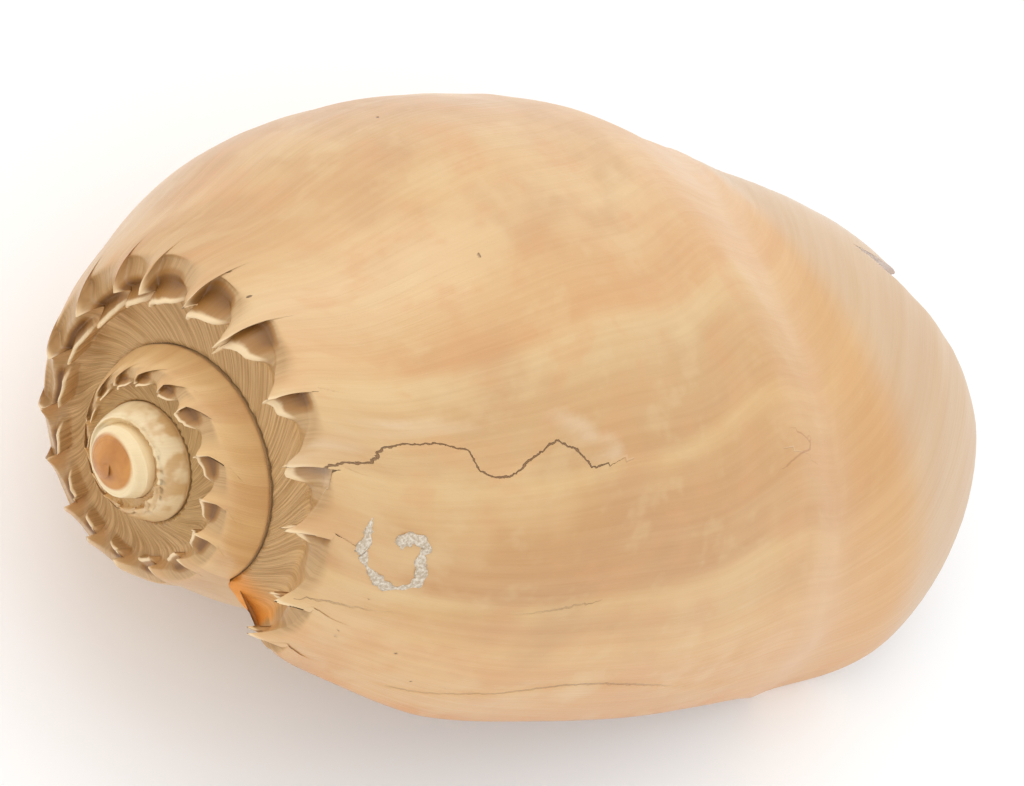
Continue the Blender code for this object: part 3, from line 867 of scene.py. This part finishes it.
def surface_relief(turned, place, v, growth, x, y):
    """Height of the fine relief over the skin, and the distance to each mark."""
    relief = fade(v, *BODY_FADE) * np.where(place > 1.0, OLD_BODY_SHARE, 1.0) * layered(BODY_LINES, growth, y)
    relief += layered(LUMPS, x, y) * fade(place, *LUMPS_FADE)
    ramp = fade(v, *RAMP_FADE) * fade(v, *RAMP_SUTURE_FADE) * fade(turned, *RAMP_LIP_FADE) * (place < RAMP_END)
    relief += ramp * between(place, RAMP_SHARE) * layered(RAMP_LINES, growth, y)
    relief -= SUTURE_GROOVE * np.exp(-(v / SUTURE_ROWS) ** 2) * fade(place, *SUTURE_FADE)
    beads = 0.5 + 0.5 * np.sin(growth * 2 * math.pi * BEADS_PER_TURN)
    relief -= BEAD_GROOVE * np.exp(-((v - BEAD_ROW) / BEAD_ROWS) ** 2) * beads * (place < BEAD_END)
    nodules = fade(np.abs(place - NODULE_PLACE), NODULE_REACH, 0.0) * bump((v - NODULE_ROW) / NODULE_ROWS)
    relief += nodules * layered(NODULES, growth, v)
    # the edge of the lip is rounded
    relief -= LIP_ROUNDING * fade(turned * TURN_LENGTH, LIP_ROUND_REACH, 0.0) ** 2 * (place < LIP_END)
    marks = {}
    for name, (line, height, reach) in SCARS.items():
        marks[name] = line_distance(x, y, line)
        relief += height * np.clip(-marks[name] / SCAR_EDGE, -1, 1) * bump(marks[name] / reach)
    lip_step = marks.pop("lip_step")
    marks["step"] = np.where(np.abs(marks["step"]) < np.abs(lip_step), marks["step"], lip_step)
    marks["pit"] = np.min([
        np.hypot(x - pit_turn * TURN_LENGTH, y - flow(LINE_LENGTH, row)) - radius for pit_turn, row, radius in PITS
    ], axis=0)
    return relief, {name: np.clip(gap, -MARK_LIMIT, MARK_LIMIT) for name, gap in marks.items()}


def shape(turn, place, v):
    """Final point of the outer skin, what its colour depends on, and its place on the growth map."""
    turned, push, shade = spine_sheets(turn, place, v)
    points = skin_points(turned, v)
    angle = 2 * math.pi * (turned + flow(TRAIL, v))
    points[..., 0] -= SPINE_INWARD * push * np.cos(angle)
    points[..., 1] -= SPINE_INWARD * push * np.sin(angle)
    points[..., 2] += SPINE_UPWARD * push

    # relief along the outward normal
    ahead = skin_points(turned + NORMAL_TURN, v) - skin_points(turned - NORMAL_TURN, v)
    down = skin_points(turned, v + NORMAL_ROW) - skin_points(turned, v - NORMAL_ROW)
    normal = np.cross(down, ahead)
    normal /= np.linalg.norm(normal, axis=-1, keepdims=True) + TINY
    growth = turned - flow(LINE_AHEAD, v)
    x = turned * TURN_LENGTH
    y = flow(LINE_LENGTH, v)
    relief, marks = surface_relief(turned, place, v, growth, x, y)
    points += normal * relief[..., None]

    top_share = fade(place, *DOME_TOP_FADE)
    domed = ease(fade(place, *DOME_FADE)) * (DOME_SHARE + (1 - DOME_SHARE) * top_share)
    domed = domed * np.maximum(fade(v, *DOME_ROW_FADE), DOME_SEAM_SHARE * top_share)
    dome = DOME_TOP - DOME_FALL * (points[..., 0] ** 2 + points[..., 1] ** 2)
    points[..., 2] += domed * (dome - points[..., 2])
    shade.update(marks)
    shade.update({
        "growth": growth,
        "age": turned,
        "row": v,
        "from_axis": np.hypot(points[..., 0], points[..., 1]),
        "band": growth + layered(BAND_WAVER, growth * TURN_LENGTH, y),
        "wide": fractal(growth * TURN_LENGTH / WIDE_GRAIN[0], y / WIDE_GRAIN[1]),
        "cloud": fractal(x / CLOUD_GRAIN + CLOUD_SHIFT[0], y / CLOUD_GRAIN + CLOUD_SHIFT[1]),
    })
    return points, shade, np.stack([x, y], axis=-1)


def corner_arrays(faces):
    """Loop counts, starts and vertex numbers of a list of faces."""
    counts = np.array([len(face) for face in faces])
    flat = np.fromiter((index for face in faces for index in face), dtype=np.int64, count=int(counts.sum()))
    starts = np.concatenate([[0], np.cumsum(counts)[:-1]])
    return counts, starts, flat


def vertex_normals(points, counts, starts, flat, chosen):
    """Area weighted normals at the vertices, from the chosen faces only."""
    following = np.arange(len(flat)) + 1
    following[starts + counts - 1] = starts
    cross = np.cross(points[flat], points[flat[following]])
    face_normal = np.add.reduceat(cross, starts, axis=0) * chosen[:, None]
    owner = np.repeat(np.arange(len(counts)), counts)
    normal = np.zeros_like(points)
    for axis in range(3):
        normal[:, axis] = np.bincount(flat, weights=face_normal[owner, axis], minlength=len(points))
    return normal / (np.linalg.norm(normal, axis=1, keepdims=True) + TINY * TINY)


def link(item):
    bpy.context.scene.collection.objects.link(item)
    return item


def add_piece(name, points, normals, arrays, chosen, shade, uv, materials, slots=None):
    """One visible mesh from the chosen faces, with its colour attributes."""
    counts, starts, flat = arrays
    keep = np.repeat(chosen, counts)
    used, corners = np.unique(flat[keep], return_inverse=True)
    sizes = counts[chosen]
    data = bpy.data.meshes.new(name)
    data.vertices.add(len(used))
    data.vertices.foreach_set("co", points[used].astype(np.float32).ravel())
    data.loops.add(len(corners))
    data.loops.foreach_set("vertex_index", corners.astype(np.int32))
    data.polygons.add(len(sizes))
    data.polygons.foreach_set("loop_start", np.concatenate([[0], np.cumsum(sizes)[:-1]]).astype(np.int32))
    data.update(calc_edges=True)
    data.polygons.foreach_set("use_smooth", np.ones(len(sizes), dtype=bool))
    for key, values in shade.items():
        attribute = data.attributes.new(key, "FLOAT", "POINT")
        attribute.data.foreach_set("value", values[used].astype(np.float32))
    layer = data.uv_layers.new(name="growth_map")
    layer.uv.foreach_set("vector", (uv[used][corners] * UV_PER_MM).astype(np.float32).ravel())
    data.normals_split_custom_set_from_vertices(normals[used].astype(np.float32))
    for material in materials:
        data.materials.append(material)
    if slots is not None:
        data.polygons.foreach_set("material_index", slots[chosen].astype(np.int32))
    item = link(bpy.data.objects.new(name, data))
    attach(item, "root")
    return item


def linear(*channels):
    """Linear colour from display values of 0 to 255."""
    return tuple(((c / 255 + 0.055) / 1.055) ** 2.4 for c in channels) + (1.0,)


class Graph:
    """Short ways to build a material's nodes."""

    def __init__(self, name):
        self.material = bpy.data.materials.new(name)
        self.material.use_nodes = True
        self.tree = self.material.node_tree
        self.shader = self.tree.nodes["Principled BSDF"]

    def put(self, socket, value):
        if isinstance(value, bpy.types.NodeSocket):
            self.tree.links.new(value, socket)
        else:
            socket.default_value = value

    def node(self, kind, *values):
        node = self.tree.nodes.new(kind)
        for socket, value in zip(node.inputs, values):
            self.put(socket, value)
        return node

    def attribute(self, name):
        node = self.node("ShaderNodeAttribute")
        node.attribute_name = name
        return node.outputs["Fac"]

    def place(self):
        return self.node("ShaderNodeTexCoord").outputs["Object"]

    def growth_map(self):
        """Millimetres around and down the shell."""
        node = self.node("ShaderNodeUVMap")
        node.uv_map = "growth_map"
        split = self.node("ShaderNodeSeparateXYZ", node.outputs[0])
        return self.times(split.outputs[0], 1.0 / UV_PER_MM), self.times(split.outputs[1], 1.0 / UV_PER_MM)

    def math(self, operation, *values):
        node = self.node("ShaderNodeMath", *values)
        node.operation = operation
        return node.outputs[0]

    def plus(self, a, b):
        return self.math("ADD", a, b)

    def minus(self, a, b):
        return self.math("SUBTRACT", a, b)

    def times(self, a, b):
        return self.math("MULTIPLY", a, b)

    def times_plus(self, a, b, c):
        return self.math("MULTIPLY_ADD", a, b, c)

    def size(self, value):
        return self.math("ABSOLUTE", value)

    def spread(self, value, low, high, to_low=0.0, to_high=1.0):
        """Soft change from one value to another as the first goes from low to high."""
        node = self.node("ShaderNodeMapRange", value, low, high, to_low, to_high)
        node.interpolation_type = "SMOOTHSTEP"
        return node.outputs[0]

    def noise(self, vector, scale, detail=3.0, roughness=0.55, flat=False):
        node = self.node("ShaderNodeTexNoise")
        node.noise_dimensions = "2D" if flat else "3D"
        for name, value in (("Vector", vector), ("Scale", scale), ("Detail", detail), ("Roughness", roughness)):
            self.put(node.inputs[name], value)
        return node.outputs["Fac"]

    def pattern(self, x, y, width, length, detail, roughness):
        """Flat noise with grains of this width and length in millimetres."""
        vector = self.node("ShaderNodeCombineXYZ", self.math("DIVIDE", x, width), self.math("DIVIDE", y, length))
        return self.noise(vector.outputs[0], 1.0, detail, roughness, flat=True)

    def mix(self, factor, a, b, blend="MIX"):
        node = self.node("ShaderNodeMix")
        node.data_type = "RGBA"
        node.blend_type = blend
        self.put(node.inputs[0], factor)
        self.put(node.inputs[6], a)
        self.put(node.inputs[7], b)
        return node.outputs[2]

    def tones(self, value, low, high, first, second):
        """Colour that turns from one tone to another as the value goes from low to high."""
        return self.mix(self.spread(value, low, high), linear(*first), linear(*second))

    def tint(self, colour, value, low, high, share, tone):
        """The colour with a tone mixed in as the value goes from low to high."""
        return self.mix(self.spread(value, low, high, 0.0, share), colour, linear(*tone))

    def ramp(self, value, stops):
        node = self.node("ShaderNodeValToRGB", value)
        band = node.color_ramp
        while len(band.elements) > 1:
            band.elements.remove(band.elements[0])
        band.elements[0].position = stops[0][0]
        band.elements[0].color = linear(*stops[0][1])
        for place, colour in stops[1:]:
            band.elements.new(place).color = linear(*colour)
        return node.outputs[0]

    def finish(self, colour, roughness, height, distance, coat=None):
        """Joins colour, roughness and fine relief to the shader, and sets the coat."""
        node = self.node("ShaderNodeBump")
        for name, value in (("Height", height), ("Distance", distance), ("Strength", 1.0)):
            self.put(node.inputs[name], value)
        sockets = self.shader.inputs
        for name, value in (("Base Color", colour), ("Roughness", roughness), ("Normal", node.outputs["Normal"])):
            self.put(sockets[name], value)
        if coat:
            sockets["Coat Weight"].default_value, sockets["Coat Roughness"].default_value = coat
        return self.material


def mark_colours(g, colour, across, down, wide):
    """The colour with the old break, growth steps, curl and pits, and how deep they are cut."""
    ragged = g.minus(g.pattern(across, down, *RAGGED), 0.5)
    blocks = g.math("SNAP", g.plus(down, g.times(ragged, BLOCK_SHIFT)), BLOCK)
    jag = g.pattern(blocks, 0.0, BLOCK, 1.0, 0.0, 0.55)
    gap = g.plus(g.plus(g.attribute("break"), ragged), g.times_plus(jag, JAG, -JAG / 2))
    line = g.spread(g.size(gap), *BREAK_WIDTH)
    worn = g.spread(g.size(g.minus(gap, WORN_AT)), *WORN_FADE)
    colour = g.mix(g.times(worn, g.spread(wide, *WORN_SPREAD)), colour, linear(*WORN_COLOUR))
    colour = g.mix(g.times(line, BREAK_SHARE), colour, linear(*BREAK_COLOUR))
    step = g.spread(g.size(g.plus(g.attribute("step"), ragged)), *STEP_WIDTH)
    step = g.times(step, g.spread(wide, *STEP_FADE))
    colour = g.mix(g.times(step, STEP_SHARE), colour, linear(*STEP_COLOUR))
    slightly = g.times(ragged, MARK_RAGGED)
    curl = g.spread(g.size(g.plus(g.attribute("curl"), slightly)), *CURL_WIDTH)
    colour = g.mix(curl, colour, linear(*CURL_COLOUR))
    pits = g.spread(g.plus(g.attribute("pit"), slightly), *PIT_EDGE)
    colour = g.mix(g.times(pits, PIT_SHARE), colour, linear(*PIT_COLOUR))
    return colour, g.math("MAXIMUM", g.math("MAXIMUM", line, g.times(step, STEP_CUT)), pits)


def spine_colours(g, colour, across, ramp_streak, old):
    """The colour with painted shade behind each spine, the spines' scoops and rims, and the suture."""
    # painted shade: a darker grey-tan over the stretch behind each spine
    painted_spine_shade = g.times(g.attribute("painted_spine_shade"), PAINTED_SPINE_SHADE_SHARE)
    colour = g.mix(painted_spine_shade, colour, g.tones(ramp_streak, *PAINTED_SPINE_SHADE_TONES))
    # scoops get amber and, deepest, a darker brown that is painted shade; rims get a pale tone
    for name, *tint in SPINE_TINTS_AND_SHADE:
        colour = g.tint(colour, g.attribute(name), *tint)
    row = g.attribute("row")
    width = g.times_plus(g.pattern(across, 0.0, SEAM_GRAIN, 1.0, 1.0, 0.55), SEAM_WIDTH, 0.0)
    seam = g.math("LESS_THAN", row, width)
    if old:
        start = g.minus(UPPER_SEAM[0], g.times(width, UPPER_SEAM_SHARE))
        upper = g.times(g.math("GREATER_THAN", row, start), g.math("LESS_THAN", row, UPPER_SEAM[1]))
        seam = g.math("MAXIMUM", seam, upper)
    return g.mix(g.times(seam, g.spread(g.attribute("age"), *SEAM_FADE)), colour, linear(*SEAM_COLOUR))


def shell_material(name, shoulder=False, marked=False, front=False, old=False):
    """Outside of the shell in one region, with only what shows there."""
    g = Graph(name)
    across, down = g.growth_map()
    along = g.times(g.attribute("growth"), TURN_LENGTH)
    wide = g.attribute("wide")
    cloud = g.attribute("cloud")
    row = g.attribute("row")
    place = g.place()
    spined = shoulder or old
    if spined:
        ramp_streak = g.pattern(along, down, *RAMP_STREAK)
        ramp_part = g.spread(row, *RAMP_COLOUR_FADE)
    if old:
        colour = g.mix(ramp_part, g.tones(wide, *OLD_TONES), g.tones(ramp_streak, *OLD_RAMP_TONES))
        chips = g.noise(place, CHIP_GRAIN, 2.0)
        age = g.attribute("age")
        colour = g.mix(g.spread(age, *CHALK_FADE), colour, g.tones(chips, *CHALK_TONES))
        colour = g.tint(colour, age, *CREAM_TINT)
        colour = g.mix(g.spread(g.attribute("from_axis"), *CAP_FADE), colour, g.tones(chips, *CAP_TONES))
    else:
        colour = g.ramp(g.attribute("band"), BANDS)
        fields = {"wide": wide, "cloud": cloud, "row": row, "blotch": g.pattern(across, down, *BLOTCH)}
        for field, *tint in BODY_TINTS:
            colour = g.tint(colour, fields[field], *tint)
    dark, light = (linear(*tone) for tone in STREAK_TONES)
    dark = g.mix(1.0, colour, dark, "MULTIPLY")
    light = g.mix(STREAK_SHARE, colour, light)
    colour = g.mix(g.spread(g.pattern(along, down, *FINE_STREAK), *STREAK_FADE), dark, light)
    colour = g.mix(1.0, colour, SKIN_GAIN, "MULTIPLY")
    if front:
        # the front end beyond the keel is greyer
        grey, pale = (linear(*tone) for tone in FRONT_TONES)
        beyond = g.mix(g.pattern(along, down, *FRONT_STREAK), grey, pale)
        colour = g.mix(g.spread(row, *KEEL_FADE), colour, beyond)
    if shoulder:
        # the ramp is darker and greyer, and orange next to the lip
        ramp_colour = g.tint(g.tones(ramp_streak, *RAMP_TONES), g.attribute("age"), *LIP_TINT)
        colour = g.mix(ramp_part, colour, ramp_colour)
    if spined:
        colour = spine_colours(g, colour, across, ramp_streak, old)

    rough = g.times_plus(cloud, *ROUGHNESS)
    lines = g.pattern(along, down, *LINE_STREAK)
    if spined:
        rough = g.times_plus(ramp_part, RAMP_ROUGHNESS, rough)
        lines = g.times(lines, g.times_plus(ramp_part, RAMP_LINE_HEIGHT, LINE_HEIGHT))
    else:
        lines = g.times(lines, LINE_HEIGHT)
    if old:
        # growth lines run together towards the first turn, which is smooth
        lines = g.times(lines, g.spread(age, *OLD_LINE_FADE))
    height = g.times_plus(g.noise(place, GRAIN_SIZE, 1.0), GRAIN_HEIGHT, lines)
    if marked:
        colour, cuts = mark_colours(g, colour, across, down, wide)
        height = g.minus(height, g.times(cuts, CUT_HEIGHT))
    g.shader.inputs["Specular IOR Level"].default_value = SKIN_SPECULAR
    return g.finish(colour, rough, height, SKIN_RELIEF, SKIN_COAT)


def shell_materials():
    """Regions: body, marked body, shoulder, marked shoulder, front end, older turns."""
    return [
        shell_material("shell_body"),
        shell_material("shell_body_marked", marked=True),
        shell_material("shell_shoulder", shoulder=True),
        shell_material("shell_shoulder_marked", shoulder=True, marked=True),
        shell_material("shell_front", front=True),
        shell_material("shell_spire", old=True),
    ]


def region_of(row, place, marks):
    """Region of each face from its row, its place and its distance to the marks."""
    region = np.where(marks < MARK_REACH, 1, 0)
    region = np.where(row < SHOULDER_END, region + 2, region)
    region = np.where(row > FRONT_START, 4, region)
    return np.where(place >= 1.0, 5, region)


def inside_material():
    g = Graph("shell_inside")
    place = g.place()
    cloud, fine, grain = (
        g.noise(place, size, layers) for size, layers in zip(INSIDE_GRAINS, (4.0, 3.0, 3.0))
    )
    colour = g.tint(g.tones(cloud, *INSIDE_TONES), fine, *INSIDE_TINT)
    return g.finish(colour, g.times_plus(cloud, *INSIDE_ROUGHNESS), grain, INSIDE_RELIEF, INSIDE_COAT)


def crust_material():
    g = Graph("tube_crust")
    grain = g.noise(g.place(), CRUST_GRAIN, 4.0)
    return g.finish(g.tones(grain, *CRUST_TONES), CRUST_ROUGHNESS, grain, CRUST_RELIEF)


def to_world(points):
    turn = np.array(TO_REST)
    return points @ turn[:3, :3].T + turn[:3, 3]


def unit(vectors):
    return vectors / np.linalg.norm(vectors, axis=1, keepdims=True)


def build_crust(material):
    """White crust of a worm's tube on the last turn."""
    where = np.linspace(0, len(TUBE_LINE) - 1, TUBE_RINGS)
    turn = flow([p[0] for p in TUBE_LINE], where)
    v = flow([p[1] for p in TUBE_LINE], where)
    middle = to_world(shape(turn, turn, v)[0])
    beside = to_world(shape(turn, turn, v + NORMAL_ROW)[0]) - middle
    ahead = to_world(shape(turn + TUBE_AHEAD, turn + TUBE_AHEAD, v)[0]) - middle
    up = unit(np.cross(ahead, beside))
    if (up * (middle - to_world(np.array([[0.0, 0.0, -TIP_DEPTH / 2]])))).sum() < 0:
        up = -up
    side = unit(np.cross(unit(np.gradient(middle, axis=0)), up))
    t = np.arange(TUBE_RINGS)
    width = TUBE_RADIUS + sum(size * noise(t / rings, t * 0.0 + shift) for size, rings, shift in TUBE_SWELLING)
    width = width * MM * np.clip(np.minimum(t, t[::-1]) / TUBE_END_RINGS, TUBE_END_SHARE, 1.0)
    points = []
    for k in range(TUBE_SIDES):
        angle = 2 * math.pi * k / TUBE_SIDES
        radius = width * (1 + TUBE_LUMPS * noise(t / TUBE_LUMP_RINGS + TUBE_LUMP_SHIFT * k, t * 0.0 + k))
        flat = side * (radius * math.cos(angle))[:, None]
        points.append(middle + flat + up * (TUBE_FLATNESS * radius * math.sin(angle))[:, None])
    points = np.stack(points, axis=1).reshape(-1, 3)
    faces = []
    for i in range(TUBE_RINGS - 1):
        for k in range(TUBE_SIDES):
            a, b = i * TUBE_SIDES + k, i * TUBE_SIDES + (k + 1) % TUBE_SIDES
            faces.append((a, b, b + TUBE_SIDES, a + TUBE_SIDES))
    faces.append(tuple(range(TUBE_SIDES - 1, -1, -1)))
    faces.append(tuple((TUBE_RINGS - 1) * TUBE_SIDES + k for k in range(TUBE_SIDES)))
    data = bpy.data.meshes.new("tube_crust")
    data.from_pydata(points.tolist(), [], faces)
    data.shade_smooth()
    data.materials.append(material)
    item = link(bpy.data.objects.new("tube_crust", data))
    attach(item, "root")


def build_shell():
    points, faces, turn, place, v = build_skin()
    cut_points, cut_faces, was, slots = carve(points, faces, build_hollow())
    final, shade, uv = shape(turn, place, v)
    # the top of the dome and the front tip stay where they are
    final[-2:] = points[-2:]
    kept = was >= 0
    where = cut_points.astype(float)
    where[kept] = final[was[kept]]
    # vertices made by the cut follow the skin around them
    arrays = corner_arrays(cut_faces)
    counts, starts, flat = arrays
    inner = slots == 1
    edge = np.zeros(len(where), dtype=bool)
    edge[flat[np.repeat(~inner, counts)]] = True
    edge = np.nonzero(edge & ~kept)[0]
    beside, gap = nearest_skin(cut_points[edge], points, np.unique(was[kept]))
    share = fade(gap, EDGE_FOLLOW, EDGE_FOLLOW / 2)[:, None]
    where[edge] += share * (final[beside] - points[beside])
    was[edge] = beside
    kept = was >= 0
    where = to_world(where)
    where = np.clip(where, *(np.array(corner) for corner in packed_bounds))
    shade = {key: np.where(kept, values[np.maximum(was, 0)], 0.0) for key, values in shade.items()}
    shade["row"] = np.where(kept, shade["row"], INNER_ROW)
    uv = np.where(kept[:, None], uv[np.maximum(was, 0)], 0.0)
    # the end face of the growth edge takes no part in the smooth shading
    corner_place = np.where(kept, place[np.maximum(was, 0)], INNER_PLACE)[flat]
    growth_edge = np.minimum.reduceat(corner_place, starts) < TINY
    growth_edge &= np.maximum.reduceat(corner_place, starts) > EDGE_FACE_END
    outer_normals = vertex_normals(where, *arrays, ~inner & ~growth_edge)
    inner_normals = vertex_normals(where, *arrays, inner)
    mean_place = np.add.reduceat(corner_place, starts) / counts
    mean_row = np.add.reduceat(shade["row"][flat], starts) / counts
    marks = np.minimum.reduce([np.abs(shade["break"]), np.abs(shade["step"]) + MARK_INSET,
                               np.abs(shade["curl"]) + MARK_INSET, shade["pit"] + MARK_INSET])
    regions = region_of(mean_row, mean_place, np.minimum.reduceat(marks[flat], starts))
    outside = shell_materials()
    for name, chosen in (
        ("last_turn_young", ~inner & (mean_place < YOUNG_END)),
        ("last_turn_old", ~inner & (mean_place >= YOUNG_END) & (mean_place < 1.0)),
        ("spire", ~inner & (mean_place >= 1.0)),
    ):
        add_piece(name, where, outer_normals, arrays, chosen, shade, uv, outside, regions)
    item = add_piece("aperture", where, inner_normals, arrays, inner, {}, uv, [inside_material()])
    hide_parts("shell")
    build_crust(crust_material())


def camera_matrix():
    rows = np.array(CAMERA_ROWS)
    turn = np.array(TO_REST)[:3, :3] / MM
    matrix = np.eye(4)
    matrix[:3, :3] = turn @ np.stack([rows[0], -rows[1], -rows[2]], axis=1)
    matrix[:3, 3] = to_world((-rows.T @ np.array(CAMERA_SHIFT))[None])[0]
    return Matrix(matrix.tolist())


def add_camera():
    data = bpy.data.cameras.new("camera")
    data.sensor_width = SENSOR_WIDTH
    data.lens = FOCAL_PIXELS / PHOTO_WIDTH * SENSOR_WIDTH
    data.clip_end = VIEW_END
    item = link(bpy.data.objects.new("camera", data))
    item.matrix_world = camera_matrix()
    bpy.context.scene.camera = item


def add_lights():
    """Soft lights, placed from the camera's side of the shell."""
    axes = np.array(camera_matrix())[:3, :3]
    for name, towards, distance, size, power in LIGHTS:
        data = bpy.data.lights.new(name, "AREA")
        data.shape = "DISK"
        data.size = size
        data.energy = power
        item = link(bpy.data.objects.new(name, data))
        direction = Vector(axes @ np.array(towards)).normalized()
        item.location = Vector(LIGHT_TARGET) + direction * distance
        item.rotation_euler = direction.to_track_quat("Z", "Y").to_euler()


def add_stage():
    data = bpy.data.meshes.new("floor")
    corners = [(-FLOOR_HALF, -FLOOR_HALF, 0), (FLOOR_HALF, -FLOOR_HALF, 0),
               (FLOOR_HALF, FLOOR_HALF, 0), (-FLOOR_HALF, FLOOR_HALF, 0)]
    data.from_pydata(corners, [], [(0, 1, 2, 3)])
    g = Graph("floor")
    g.shader.inputs["Base Color"].default_value = FLOOR_COLOUR
    g.shader.inputs["Roughness"].default_value = FLOOR_ROUGHNESS
    data.materials.append(g.material)
    link(bpy.data.objects.new("floor", data))
    world = bpy.data.worlds.new("studio")
    world.use_nodes = True
    background = world.node_tree.nodes["Background"]
    background.inputs[0].default_value = WORLD_COLOUR
    background.inputs[1].default_value = WORLD_STRENGTH
    bpy.context.scene.world = world
    bpy.context.scene.view_settings.view_transform = "Standard"


build_shell()
add_camera()
add_lights()
add_stage()
